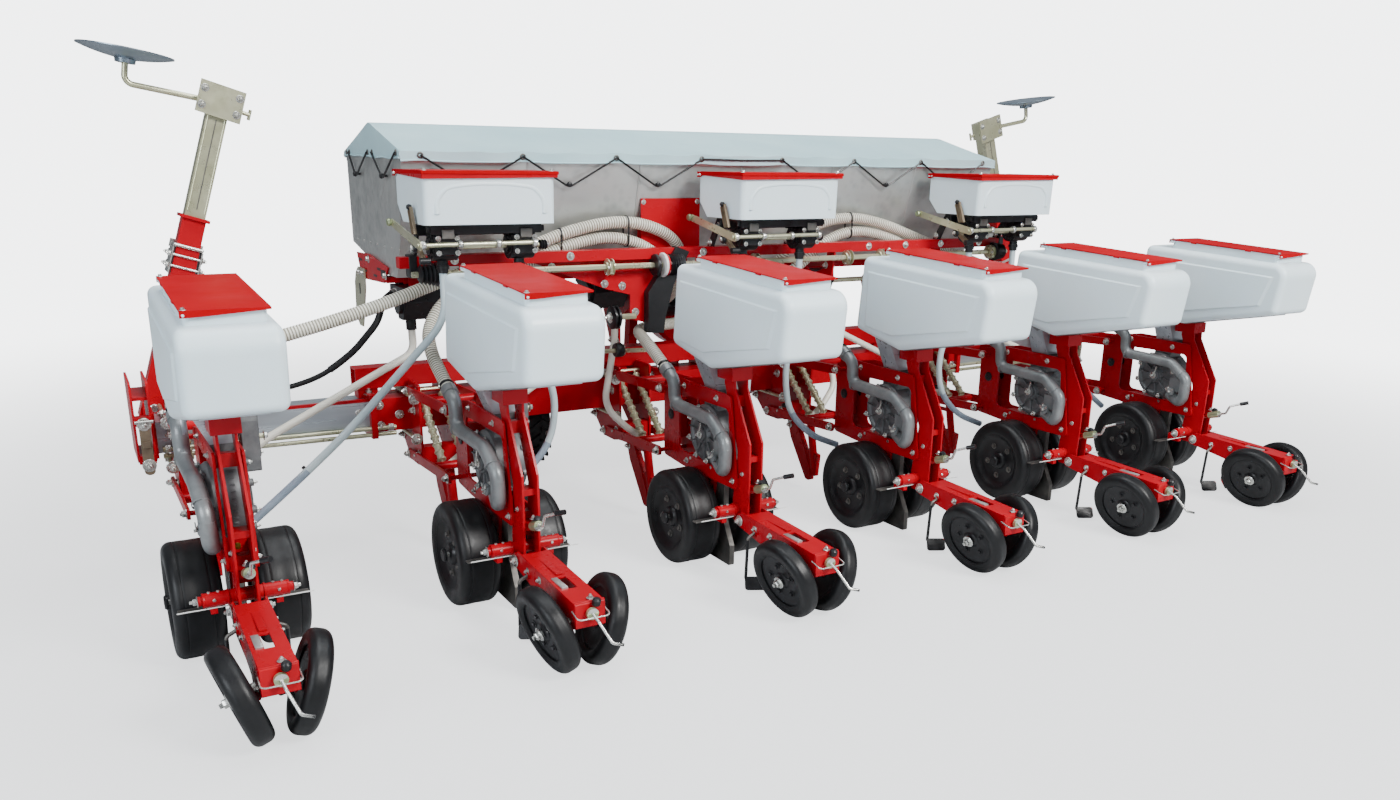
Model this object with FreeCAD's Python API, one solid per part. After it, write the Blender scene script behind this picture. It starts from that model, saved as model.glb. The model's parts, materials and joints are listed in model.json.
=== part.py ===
"""Six-row mounted pneumatic seeder with a telescopic toolbar.

Millimetres. +X is to the right seen from behind, +Y is forward (towards the tractor), +Z is up.
Depths (Y) are counted forward from the cranks at the rear of the row units, and the whole machine
is shifted by MIDDLE_Y when it is written, so that the origin lies under the middle of its outline.
Each sub-part is written to parts/NAME.step.
"""
import FreeCAD, Part
import math
import os

V = FreeCAD.Vector
X_AXIS = V(1, 0, 0)
Y_AXIS = V(0, 1, 0)
Z_AXIS = V(0, 0, 1)

# ---------------------------------------------------------------- driving dimensions
ROWS = 6
ROW_SPACING = 900.0

# fits
PIN_FIT = 0.25           # round a pin or a shaft, on the radius
SEAT_GAP = 0.3           # between soft or curved pieces and their seat
RUN_GAP = 6.0            # round a piece that swings or turns
LID_GAP = 2.0            # under a lid, over the rim that it closes

# gauge wheels
GAUGE_RADIUS = 190.0
GAUGE_WIDTH = 150.0
GAUGE_SHOULDER = 28.0
GAUGE_Y = 820.0
GAUGE_X = 127.0          # from the row's middle to the wheel's middle
GAUGE_RIM = 128.0        # radius of the pressed disc inside the tyre
AXLE_RADIUS = 10.0

# press wheels, set in a V
PRESS_RADIUS = 150.0
PRESS_HALF_WIDTH = 33.0
PRESS_CROWN = 24.0
PRESS_RIM = 100.0
PRESS_CAMBER = 18.0      # degrees, tops apart
PRESS_TOE = 5.5          # degrees, fronts apart
PRESS_X = 92.0
PRESS_Y = 135.0

# row frame
PLATE = 8.0              # thickness of the side plates
RISER_GAP = 46.0         # inside, between the two riser plates
CHASSIS_GAP = 76.0       # inside, between the two chassis plates
CHASSIS_FRONT = 1125.0
CHASSIS_REAR = 540.0
CHASSIS_BOTTOM = 350.0
CHASSIS_TOP = 712.0
CHASSIS_RAIL = 55.0      # height of the rails over and under the window
CROSS_TUBE_Y = 555.0
CROSS_TUBE_Z = 275.0
CROSS_TUBE_RADIUS = 22.0
CROSS_TUBE_HALF = 122.0
ARM_PIVOT_Y = 508.0
ARM_PIVOT_Z = 244.0
ARM_HALF = 50.0          # half the width of the press arm's channel
ARM_WALL = 6.0
CRANK_RADIUS = 5.0
CRANK_REACH = 96.0       # of the cranks behind the reference line

# furrow opener
OPENER_HEAD_TOP = 404.0

# seed meter and its suction pipe
METER_Y = 765.0
METER_Z = 530.0
METER_RADIUS = 116.0
METER_LEFT = 72.0        # of its left face from the row's middle
METER_RIGHT = 66.0
PIPE_RADIUS = 25.0
PIPE_X = -98.0
HOSE_MOUTH_Y = 1016.0
HOSE_MOUTH_Z = 752.0

# seed hopper
HOPPER_WIDTH = 262.0
HOPPER_WALL = 4.0
HOPPER_CORNER = 28.0
HOPPER_REAR = 96.0
HOPPER_FRONT = 868.0
HOPPER_X = -14.0
HOPPER_LOW_REAR = 922.0
HOPPER_LOW_MID = 822.0
HOPPER_LOW_FRONT = 876.0
HOPPER_MID_Y = 608.0
HOPPER_TOP_REAR = 1146.0
HOPPER_TOP_FRONT = 1186.0
HOPPER_PANEL = 6.0       # rise of the moulded panel on each side
NECK_WIDTH = 200.0
NECK_REAR = 170.0
NECK_FRONT = 730.0
NECK_CORNER = 16.0
NECK_RISE = 36.0         # of the rim over the tub's top
SEAT_SHEET = 4.0
SEAT_HALF = 88.0
OUTLET_Y = 748.0         # of the tub's outlet and the funnel under it
OUTLET_HALF = 30.0
HINGE_DROP = 6.0         # of a lid's hinge pins under the rim
HINGE_PIN = 3.5
LID_SHEET = 3.0

# toolbar
BAR_DEPTH = 176.0
BAR_HEIGHT = 136.0
BAR_WALL = 8.0
BAR_REAR = 1600.0
BAR_BOTTOM = 474.0
BAR_HALF = 1600.0
INNER_FIT = 0.5          # between the telescopic tubes, all round
INNER_END = 2380.0
INNER_START = 1250.0
STRIP_DEPTH = 16.0       # of the red guide strip on each sliding tube
STRIP_HEIGHT = 12.0
UPPER_TUBE = 86.0        # square, on the clamps over the box beam
UPPER_TUBE_BOTTOM = 648.0
UPPER_TUBE_REAR = 1640.0
UPPER_TUBE_HALF = 1637.0
BRACKET_X = 70.0         # inner face of a row bracket's plates
BRACKET_PLATE = 10.0
BRACKET_REAR = 1486.0
BRACKET_LOW = 330.0
BRACKET_HIGH = 676.0
LINK_X = 88.0
LINK_THICK = 10.0
LINK_LENGTH = 523.0
LINK_DROP = 26.0
LINK_LOW_Y = 1092.0
LINK_LOW_Z = 391.0
LINK_HIGH_Y = 1067.0
LINK_HIGH_Z = 662.0
LINK_PIN = 9.0
SPRING_X = 44.0
SPRING_RADIUS = 19.0
SPRING_WIRE = 5.0
SPRING_TURNS = 9

# three-point hitch, category 2
LOWER_PIN_SPREAD = 825.0
LOWER_PIN_DIA = 28.4
LOWER_PIN_Y = 2290.0
LOWER_PIN_Z = 560.0
CLEVIS_GAP = 80.0
CLEVIS_PLATE = 12.0
MAST_HEIGHT = 610.0
MAST_SPREAD = 660.0
TOP_PIN_DIA = 25.6
TOP_LINK_GAP = 52.0
TOP_LINK_PLATE = 14.0

# upper beam and its shaft
UPPER_HALF = 1450.0
UPPER_REAR = 1235.0
UPPER_DEPTH = 60.0
UPPER_BOTTOM = 1168.0
UPPER_HEIGHT = 42.0
STAND_X = (450.0, 1080.0)
STAND_PLATE = 10.0
SHAFT_RADIUS = 12.0      # hexagonal drive shafts, across the corners
UPPER_SHAFT_Y = 1214.0
UPPER_SHAFT_Z = 1158.0

# fertiliser hopper
BIN_HALF = 1478.0
BIN_REAR = 1333.0
BIN_FRONT = 2190.0
BIN_TOP = 1574.0
BIN_KNEE_Y = 1423.0
BIN_KNEE_Z = 1250.0
BIN_SIDE_BOTTOM = 1200.0
BIN_BOTTOM = 1105.0
BIN_FLOOR_REAR = 1500.0
BIN_FLOOR_FRONT = 1700.0
BIN_WALL = 4.0
RIDGE_Y = 1761.0
RIDGE_Z = 1690.0
COVER_THICK = 6.0
COVER_DROP = 34.0
FERT_METER_X = (560.0, 1380.0)   # on each side of the middle
FERT_METER_HALF = 78.0
FERT_SHAFT_Y = 1560.0
FERT_OUTLET = 40.0       # of an outlet from its metering box's middle
FERT_REACH = 0.62
FERT_TUBE = 15.0
FERT_TUBE_Y = 1376.0
FERT_TIP_Y = 1363.0
FERT_TIP_Z = 55.0
FERT_SHAFT_Z = 1000.0

# granule hoppers
GRANULE_COUNT = 3
GRANULE_SPACING = 1275.0
GRANULE_WIDTH = 480.0
GRANULE_REAR = 950.0
GRANULE_FRONT = 1285.0
GRANULE_BOTTOM = 1335.0
GRANULE_TOP = 1512.0
GRANULE_WALL = 4.0
GRANULE_CORNER = 22.0
GRANULE_METER_X = 145.0
GRANULE_METER_Y = 1062.0
GRANULE_METER_Z = 1252.0
GRANULE_TUBE = 14.0

# drive wheels
DRIVE_RADIUS = 250.0
DRIVE_WIDTH = 130.0
DRIVE_RIM = 150.0
DRIVE_X = 600.0
DRIVE_Y = 2500.0
DRIVE_AXLE = 15.0

# vacuum fan
FAN_X = 0.0
FAN_Y = 1872.0
FAN_Z = 880.0
FAN_RADIUS = 195.0
FAN_HALF = 58.0
COLLECTOR_Y = 1752.0
COLLECTOR_Z = 900.0
COLLECTOR_RADIUS = 52.0
COLLECTOR_HALF = 262.0
SPIGOT_STEP = 88.0
SPIGOT_RADIUS = 22.0
SPIGOT_LENGTH = 70.0
HOSE_RADIUS = 25.0
HOSE_LANE_Y = 1346.0        # depth at which the hoses run between the beam and the bin

# row markers
MARKER_X = 2360.0
MARKER_Y = 1950.0
MARKER_Z = 600.0
MARKER_LEAN = 17.6       # degrees, towards the middle
MARKER_LENGTH = 1207.0   # from the pivot to the head plate
MARKER_SOCKET = 84.0     # square, outside
MARKER_SLEEVE = 760.0    # length of the socket over its pivot
MARKER_WALL = 5.0
MARKER_FOOT = 50.0       # of the socket past its pivot
MARKER_PIN = 14.0
FORK_GAP = 3.0
FORK_PLATE = 10.0
DISC_RADIUS = 162.0
DISC_DISH = 26.0
STEM_RADIUS = 11.0
DISC_OUT = 331.0         # from the arm's line to the disc's spindle
DISC_RISE = 40.0         # of the disc over the head plate's middle, along the arm
SPINDLE_TILT = -8.3      # degrees, of the spindle against the arm

# depth of the middle of the whole outline, between the crank ends and the drive wheels' fronts
MIDDLE_Y = (DRIVE_Y + DRIVE_RADIUS - CRANK_REACH) / 2.0


def row_centres():
    return [(i - (ROWS - 1) / 2.0) * ROW_SPACING for i in range(ROWS)]


# ---------------------------------------------------------------- shape helpers
def box(x0, x1, y0, y1, z0, z1):
    return Part.makeBox(x1 - x0, y1 - y0, z1 - z0, V(x0, y0, z0))


def rod(start, end, radius):
    start = V(*start)
    along = V(*end) - start
    return Part.makeCylinder(radius, along.Length, start, along)


def hex_bar(start, end, radius):
    """Hexagonal bar, `radius` across its corners."""
    start = V(*start)
    along = V(*end) - start
    corners = []
    for step in range(6):
        turn = math.radians(60.0 * step)
        corners.append(V(radius * math.cos(turn), radius * math.sin(turn), 0))
    bar = Part.Face(Part.makePolygon(corners + [corners[0]])).extrude(V(0, 0, along.Length))
    bar.Placement = FreeCAD.Placement(start, FreeCAD.Rotation(Z_AXIS, along))
    return bar


def rounded_outline(points, radius):
    """Closed wire through the points, each corner rounded; a point may bring its own radius."""
    corners = []
    count = len(points)
    for i, point in enumerate(points):
        size = point[2] if len(point) == 3 else radius
        p = V(point[0], point[1], 0)
        before = V(points[i - 1][0], points[i - 1][1], 0)
        after = V(points[(i + 1) % count][0], points[(i + 1) % count][1], 0)
        to_before = (before - p).normalize()
        to_after = (after - p).normalize()
        half = to_before.getAngle(to_after) / 2.0
        if size <= 0 or abs(math.pi / 2 - half) < 1e-3:
            corners.append((p, None, p))
            continue
        reach = size / math.tan(half)
        centre = p + (to_before + to_after).normalize() * (size / math.sin(half))
        middle = centre + (p - centre).normalize() * size
        corners.append((p + to_before * reach, middle, p + to_after * reach))
    edges = []
    for i, (start, middle, end) in enumerate(corners):
        if middle is not None:
            edges.append(Part.Arc(start, middle, end).toShape())
        following = corners[(i + 1) % count][0]
        if (following - end).Length > 1e-6:
            edges.append(Part.makeLine(end, following))
    return Part.Wire(edges)


def plate_x(points, x0, x1, radius=0.0, holes=()):
    """Plate whose outline lies in the Y-Z plane, from x0 to x1. Holes are (y, z, radius)."""
    face = Part.Face(rounded_outline(points, radius))
    face.rotate(V(0, 0, 0), V(1, 1, 1), 120)
    face.translate(V(x0, 0, 0))
    solid = face.extrude(V(x1 - x0, 0, 0))
    for y, z, r in holes:
        solid = solid.cut(Part.makeCylinder(r, x1 - x0 + 2, V(x0 - 1, y, z), X_AXIS))
    return solid


def plate_y(points, y0, y1, radius=0.0):
    """Plate whose outline (x, z) lies in the X-Z plane, from y0 to y1."""
    face = Part.Face(rounded_outline(points, radius))
    face.rotate(V(0, 0, 0), X_AXIS, 90)
    face.translate(V(0, y0, 0))
    return face.extrude(V(0, y1 - y0, 0))


def plate_z(points, z0, z1, radius=0.0):
    """Plate whose outline (x, y) lies level, from z0 to z1."""
    face = Part.Face(rounded_outline(points, radius))
    face.translate(V(0, 0, z0))
    return face.extrude(V(0, 0, z1 - z0))


def side_pair(outline, inside, thickness, radius=0.0, holes=()):
    """The same plate on the left and on the right, a given distance apart inside."""
    near = inside / 2.0
    right = plate_x(outline, near, near + thickness, radius, holes)
    left = plate_x(outline, -near - thickness, -near, radius, holes)
    return [left, right]


def turned(profile, centre, axis):
    """Solid of revolution. The profile is (distance along the axis, radius)."""
    points = [V(r, 0, a) for a, r in profile]
    face = Part.Face(Part.makePolygon(points + [points[0]]))
    solid = face.revolve(V(0, 0, 0), Z_AXIS, 360)
    solid.Placement = FreeCAD.Placement(V(*centre), FreeCAD.Rotation(Z_AXIS, V(*axis)))
    return solid


def arc_path(points, radii):
    """Straight runs through the points, joined by a tangent arc of the given radius at each."""
    path = [V(*p) for p in points]
    edges = []
    last = path[0]
    for i, bend in enumerate(radii, 1):
        back = (path[i - 1] - path[i]).normalize()
        ahead = (path[i + 1] - path[i]).normalize()
        half = back.getAngle(ahead) / 2.0
        reach = bend / math.tan(half)
        centre = path[i] + (back + ahead).normalize() * (bend / math.sin(half))
        middle = centre + (path[i] - centre).normalize() * bend
        edges.append(Part.makeLine(last, path[i] + back * reach))
        edges.append(Part.Arc(path[i] + back * reach, middle, path[i] + ahead * reach).toShape())
        last = path[i] + ahead * reach
    edges.append(Part.makeLine(last, path[-1]))
    return Part.Wire(edges)


def tube_along(wire, start, ahead, radius, bore=0.0):
    """Round tube or bar swept along a wire that starts at `start` towards `ahead`."""
    solid = wire.makePipeShell([Part.Wire(Part.makeCircle(radius, start, ahead))], True, False)
    if bore > 0:
        solid = solid.cut(wire.makePipeShell([Part.Wire(Part.makeCircle(bore, start, ahead))], True, False))
    return solid


def bent_rod(points, radius, bend, bore=0.0):
    """Round bar or tube along straight runs joined by arcs of one radius."""
    wire = arc_path(points, [bend] * (len(points) - 2))
    return tube_along(wire, V(*points[0]), V(*points[1]) - V(*points[0]), radius, bore)


def fuse(shapes):
    first = shapes[0]
    if len(shapes) == 1:
        return first
    return first.multiFuse(shapes[1:]).removeSplitter()


def mirror_x(shape):
    return shape.mirror(V(0, 0, 0), X_AXIS)


def moved(shape, x=0.0, y=0.0, z=0.0):
    copy = shape.copy()
    copy.translate(V(x, y, z))
    return copy


def on_each_row(shapes):
    return [moved(shape, x) for x in row_centres() for shape in shapes]


def save(name, shapes):
    solids = []
    for shape in shapes:
        solids.extend(moved(shape, y=-MIDDLE_Y).Solids)
    body = solids[0] if len(solids) == 1 else Part.makeCompound(solids)
    body.exportStep(os.path.join("parts", name + ".step"))


# ---------------------------------------------------------------- wheels of a row unit
def gauge_wheel_profile():
    """Half profile of a wide smooth tyre on a dished disc, both faces alike."""
    half = GAUGE_WIDTH / 2.0
    outer = []
    for step in range(5):
        turn = math.radians(90.0 * step / 4)
        along = half - GAUGE_SHOULDER + GAUGE_SHOULDER * math.sin(turn)
        out = GAUGE_RADIUS - GAUGE_SHOULDER * 0.8 * (1 - math.cos(turn))
        outer.append((along, out))
    outer += [(half - 4, GAUGE_RIM + 4), (half - 18, GAUGE_RIM - 4), (half - 26, GAUGE_RIM - 20),
              (half - 26, 44), (half - 12, 38), (half - 12, AXLE_RADIUS)]
    inner = [(-a, r) for a, r in reversed(outer)]
    return inner + outer


def gauge_wheel_pair(x):
    wheels = []
    for side in (-1, 1):
        centre = (x + side * GAUGE_X, GAUGE_Y, GAUGE_RADIUS)
        wheels.append(turned(gauge_wheel_profile(), centre, (side, 0, 0)))
    return wheels


def press_axis(side):
    """Outward unit direction of a press wheel's axle."""
    camber = math.radians(PRESS_CAMBER)
    toe = math.radians(PRESS_TOE)
    return V(side * math.cos(camber) * math.cos(toe),
             -math.cos(camber) * math.sin(toe),
             -math.sin(camber))


def press_height():
    """Height of a press wheel's middle when its tyre just touches the ground."""
    tilt = math.radians(PRESS_CAMBER)
    reach = math.hypot(PRESS_CROWN * math.cos(tilt), PRESS_HALF_WIDTH * math.sin(tilt))
    return (PRESS_RADIUS - PRESS_CROWN) * math.cos(tilt) + reach


def press_wheel(x, side):
    tread = []
    for step in range(-5, 6):
        turn = math.radians(18.0 * step)
        tread.append((PRESS_HALF_WIDTH * math.sin(turn),
                      PRESS_RADIUS - PRESS_CROWN * (1 - math.cos(turn))))
    outer = [(PRESS_HALF_WIDTH - 3, PRESS_RIM + 6), (PRESS_HALF_WIDTH - 12, PRESS_RIM),
             (13, PRESS_RIM - 8), (13, 34), (22, 28), (22, AXLE_RADIUS)]
    inner = [(-a, r) for a, r in reversed(outer)]
    centre = (x + side * PRESS_X, PRESS_Y, press_height())
    return turned(inner + tread + outer, centre, press_axis(side))


# ---------------------------------------------------------------- row unit frame
def link_pivots():
    """(y, z) of the four pivots of a row's parallel linkage: rear ones, then front ones."""
    rear = [(LINK_LOW_Y, LINK_LOW_Z), (LINK_HIGH_Y, LINK_HIGH_Z)]
    front = [(y + LINK_LENGTH, z - LINK_DROP) for y, z in rear]
    return rear, front


def seat_underside(y=HOPPER_MID_Y):
    """Height of the underside of the hopper's seat, from its lowest line forward."""
    slope = (HOPPER_LOW_FRONT - HOPPER_LOW_MID) / (HOPPER_FRONT + 22 - HOPPER_MID_Y)
    return HOPPER_LOW_MID + slope * (y - HOPPER_MID_Y) - SEAT_GAP - SEAT_SHEET


def row_frame():
    """Chassis ring, dog-leg riser, cross tube and hopper post, for a row at x = 0."""
    rear_pivots, _ = link_pivots()
    bore = LINK_PIN + PIN_FIT
    ring = [(CHASSIS_REAR, CHASSIS_BOTTOM + 4), (CHASSIS_FRONT - 160, CHASSIS_BOTTOM),
            (CHASSIS_FRONT, CHASSIS_BOTTOM + 12), (CHASSIS_FRONT, CHASSIS_TOP - 30),
            (CHASSIS_FRONT - 160, CHASSIS_TOP), (CHASSIS_REAR + 60, CHASSIS_TOP)]
    low = CHASSIS_BOTTOM + CHASSIS_RAIL
    high = CHASSIS_TOP - CHASSIS_RAIL
    window = [(CHASSIS_REAR + 50, low), (CHASSIS_FRONT - 128, low + 8),
              (CHASSIS_FRONT - 128, high - 8), (CHASSIS_REAR + 72, high)]
    holes = [(y, z, bore) for y, z in rear_pivots] + [(CHASSIS_FRONT - 62, 548, 20)]
    opening = plate_x(window, -CHASSIS_GAP, CHASSIS_GAP, 25)
    plates = [plate.cut(opening) for plate in side_pair(ring, CHASSIS_GAP, PLATE, 18, holes)]
    top = seat_underside() - SEAT_GAP
    riser = [(487, 222), (585, 222), (592, 300), (563, 500), (668, 752), (668, top),
             (600, top), (594, 736), (481, 545), (481, 410)]
    risers = side_pair(riser, RISER_GAP, PLATE, 6, [(ARM_PIVOT_Y, ARM_PIVOT_Z, bore)])
    half = CHASSIS_GAP / 2
    spacers = [
        box(-half, half, CHASSIS_REAR + 6, CHASSIS_REAR + 46, CHASSIS_BOTTOM + 6, low - 4),
        box(-half, half, CHASSIS_FRONT - 50, CHASSIS_FRONT - 20, CHASSIS_BOTTOM + 90, CHASSIS_BOTTOM + 250),
        box(-half, half, CHASSIS_REAR + 70, CHASSIS_REAR + 98, high + 6, CHASSIS_TOP - 6),
        box(-44, 44, 590, 700, top - 50, top),
        box(-RISER_GAP / 2, RISER_GAP / 2, 492, 548, 350, 372),
        box(-RISER_GAP / 2, RISER_GAP / 2, 500, 556, 470, 492)]
    cross = rod((-CROSS_TUBE_HALF, CROSS_TUBE_Y, CROSS_TUBE_Z), (CROSS_TUBE_HALF, CROSS_TUBE_Y, CROSS_TUBE_Z),
                CROSS_TUBE_RADIUS)
    cross = cross.cut(rod((-CROSS_TUBE_HALF - 1, CROSS_TUBE_Y, CROSS_TUBE_Z),
                          (-PLATE - RISER_GAP / 2, CROSS_TUBE_Y, CROSS_TUBE_Z), CROSS_TUBE_RADIUS - 5))
    cross = cross.cut(rod((CROSS_TUBE_HALF + 1, CROSS_TUBE_Y, CROSS_TUBE_Z),
                          (PLATE + RISER_GAP / 2, CROSS_TUBE_Y, CROSS_TUBE_Z), CROSS_TUBE_RADIUS - 5))
    return fuse(plates + risers + spacers + [cross] + depth_crank() + scrapers())


def depth_crank():
    """Threaded spindle with its round nut and cranked handle, between the risers."""
    nut = rod((0, 470, 372), (0, 418, 388), 17)
    spindle = rod((0, 520, 357), (0, 408, 391), 8)
    handle = bent_rod([(0, 412, 390), (0, 384, 398), (2, 368, 436), (26, 332, 452), (42, 308, 461)], 5, 9)
    grip = rod((26, 332, 452), (46, 302, 463), 9)
    return [nut, spindle, handle, grip]


def scrapers():
    """Stub shafts out of the cross tube, each with the flat scraper that cleans a gauge wheel."""
    pieces = []
    for side in (-1, 1):
        stub = rod((side * 25, CROSS_TUBE_Y, CROSS_TUBE_Z),
                   (side * (CROSS_TUBE_HALF + 16), CROSS_TUBE_Y, CROSS_TUBE_Z), 15)
        x0 = min(side * 62, side * 190)
        flat = box(x0, x0 + 128, GAUGE_Y - GAUGE_RADIUS - 30, GAUGE_Y - GAUGE_RADIUS - 3, 226, 231)
        hanger = box(min(side * 84, side * 104), max(side * 84, side * 104), CROSS_TUBE_Y - 4,
                     GAUGE_Y - GAUGE_RADIUS - 16, 229, 262)
        pieces += [stub, flat, hanger]
    return pieces


# ---------------------------------------------------------------- seed hoppers
def hopper_slope():
    """Forward climb of the tub's top and of the lid."""
    return (HOPPER_TOP_FRONT - HOPPER_TOP_REAR) / (HOPPER_FRONT - HOPPER_REAR)


def top_height(y):
    return HOPPER_TOP_REAR + hopper_slope() * (y - HOPPER_REAR)


def neck_block(inset, start, end):
    """Upright neck on the sloping top, from `start` to `end` over the tub's top."""
    half = NECK_WIDTH / 2 - inset
    length = (NECK_FRONT - NECK_REAR) / 2 - inset
    corners = [(-half, -length), (half, -length), (half, length), (-half, length)]
    block = plate_z(corners, start, end, NECK_CORNER - inset)
    block.rotate(V(0, 0, 0), X_AXIS, math.degrees(math.atan(hopper_slope())))
    middle = (NECK_FRONT + NECK_REAR) / 2
    block.translate(V(0, middle, top_height(middle)))
    return block


def seed_hopper_solid(inset, rim_extra):
    """Rounded form of the tub and its neck, drawn in by a wall's thickness for its hollow."""
    half = HOPPER_WIDTH / 2 - inset
    corner = HOPPER_CORNER + 2 - inset
    rear = HOPPER_REAR + inset
    front = HOPPER_FRONT - inset
    outline = [(rear, top_height(rear) - inset, 2 * corner), (rear + 30, HOPPER_LOW_REAR + inset),
               (HOPPER_MID_Y, HOPPER_LOW_MID + inset), (front + 22, HOPPER_LOW_FRONT + inset),
               (front - 12, top_height(front) - inset)]
    body = plate_x(outline, -half, half, corner)
    sides = [edge for edge in body.Edges if abs(abs(edge.CenterOfMass.x) - half) < 0.01]
    body = body.makeFillet(HOPPER_CORNER - inset, sides)
    return fuse([body, neck_block(inset, -20 - inset, NECK_RISE + rim_extra)])


def hopper_panels():
    """Raised panel moulded on each side of the tub, with sloping edges."""
    outer = [(150, 1092), (818, 1128), (822, 896), (640, 876), (196, 956)]
    middle_y = sum(y for y, z in outer) / len(outer)
    middle_z = sum(z for y, z in outer) / len(outer)
    panels = []
    for side in (-1, 1):
        wall = side * HOPPER_WIDTH / 2
        rings = []
        for x, share in ((wall - side, 1.0), (wall + side * HOPPER_PANEL, 0.95)):
            corners = [V(x, middle_y + (y - middle_y) * share, middle_z + (z - middle_z) * share)
                       for y, z in outer]
            rings.append(Part.makePolygon(corners + [corners[0]]))
        panels.append(Part.makeLoft(rings, True))
    return panels


def rim_point(y):
    """Point of the neck's left rim at depth y, at the level of the hinge pins."""
    slope = hopper_slope()
    middle = (NECK_FRONT + NECK_REAR) / 2
    tilt = math.atan(slope)
    along = (y - middle) / math.cos(tilt)
    up = NECK_RISE - HINGE_DROP
    return V(-NECK_WIDTH / 2, middle + along * math.cos(tilt) - up * math.sin(tilt),
             top_height(middle) + along * math.sin(tilt) + up * math.cos(tilt))


def seed_hinge(outer, inner, radius):
    """Pair of round pieces on the hinge line, from `outer` outside each wall to `inner` inside it."""
    start = rim_point(NECK_REAR)
    end = rim_point(NECK_FRONT)
    along = (end - start).normalize()
    return [Part.makeCylinder(radius, inner - outer, start + along * outer, along),
            Part.makeCylinder(radius, inner - outer, end - along * outer, along * -1)]


def seed_hopper(x):
    """Moulded tub with a raised neck, open at the top, and its outlet over the funnel."""
    tub = fuse([seed_hopper_solid(0, 0)] + hopper_panels() + seed_hinge(-9, NECK_CORNER, 7))
    tub = tub.cut(seed_hopper_solid(HOPPER_WALL, 5))
    tub = tub.cut(box(-OUTLET_HALF, OUTLET_HALF, OUTLET_Y - OUTLET_HALF, OUTLET_Y + OUTLET_HALF,
                      HOPPER_LOW_MID, HOPPER_LOW_FRONT + HOPPER_WALL))
    for pin in seed_hinge(-18, 3, HINGE_PIN):
        tub = tub.fuse(pin)
    return moved(tub, x + HOPPER_X)


def seed_lid(x):
    """Sheet lid with turned-down tapering ends, hinged along its left edge."""
    over = 14.0
    half = NECK_WIDTH / 2 + 8
    length = (NECK_FRONT - NECK_REAR) / 2 + over
    base = NECK_RISE + LID_GAP
    pieces = [box(-half, half, -length, length, base, base + LID_SHEET)]
    end = [(-half, base - 15), (-half + 30, base - 15), (half, base - 3), (half, base + 1), (-half, base + 1)]
    pieces.append(plate_y(end, -length + LID_SHEET, -length))
    pieces.append(plate_y(end, length, length - LID_SHEET))
    lid = fuse(pieces)
    lid.rotate(V(0, 0, 0), X_AXIS, math.degrees(math.atan(hopper_slope())))
    middle = (NECK_FRONT + NECK_REAR) / 2
    lid.translate(V(0, middle, top_height(middle)))
    for hole in seed_hinge(-20, -10, HINGE_PIN + PIN_FIT):
        lid = lid.cut(hole)
    return moved(lid, x + HOPPER_X)


# ---------------------------------------------------------------- seed meters
def hopper_seat():
    """Bent sheet under the seed hopper, with the funnel down to the meter."""
    outlet = box(HOPPER_X - OUTLET_HALF, HOPPER_X + OUTLET_HALF,
                 OUTLET_Y - OUTLET_HALF, OUTLET_Y + OUTLET_HALF,
                 HOPPER_LOW_MID - 20, HOPPER_LOW_FRONT)
    top = SEAT_SHEET
    rear_slope = (HOPPER_LOW_REAR - HOPPER_LOW_MID) / (HOPPER_MID_Y - HOPPER_REAR - 30)
    rear_y = HOPPER_REAR + 110
    rear_z = seat_underside() + rear_slope * (HOPPER_MID_Y - rear_y)
    front_y = HOPPER_FRONT - 50
    sheet = [(rear_y, rear_z), (HOPPER_MID_Y, seat_underside()), (front_y, seat_underside(front_y)),
             (front_y, seat_underside(front_y) + top), (HOPPER_MID_Y, seat_underside() + top),
             (rear_y, rear_z + top)]
    seat = plate_x(sheet, HOPPER_X - SEAT_HALF, HOPPER_X + SEAT_HALF).cut(outlet)
    rear = 706.0
    front = front_y - 6
    half_top = SEAT_HALF - 6
    throat = CHASSIS_GAP / 2 - SEAT_GAP
    low = CHASSIS_TOP + LID_GAP

    def funnel(inset, above):
        corners = ((-1, rear + inset), (1, rear + inset), (1, front - inset), (-1, front - inset))
        upper = [V(HOPPER_X + sx * (half_top - inset), y, seat_underside(y) + above)
                 for sx, y in corners]
        lower = [V(sx * (throat - inset), y, low - above)
                 for sx, y in ((-1, rear + inset), (1, rear + inset), (1, METER_Y + 40 - inset),
                               (-1, METER_Y + 40 - inset))]
        return Part.makeLoft([Part.makePolygon(ring + [ring[0]]) for ring in (upper, lower)], True)

    throat_box = box(-throat, throat, rear, METER_Y + 40, METER_Z + 40, low)
    throat_hollow = box(-throat + 4, throat - 4, rear + 4, METER_Y + 36, METER_Z + 60, low + 1)
    outer = fuse([funnel(0, 0.5), throat_box])
    return fuse([seat, outer]).cut(funnel(4, 1)).cut(throat_hollow).cut(outlet)


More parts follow.
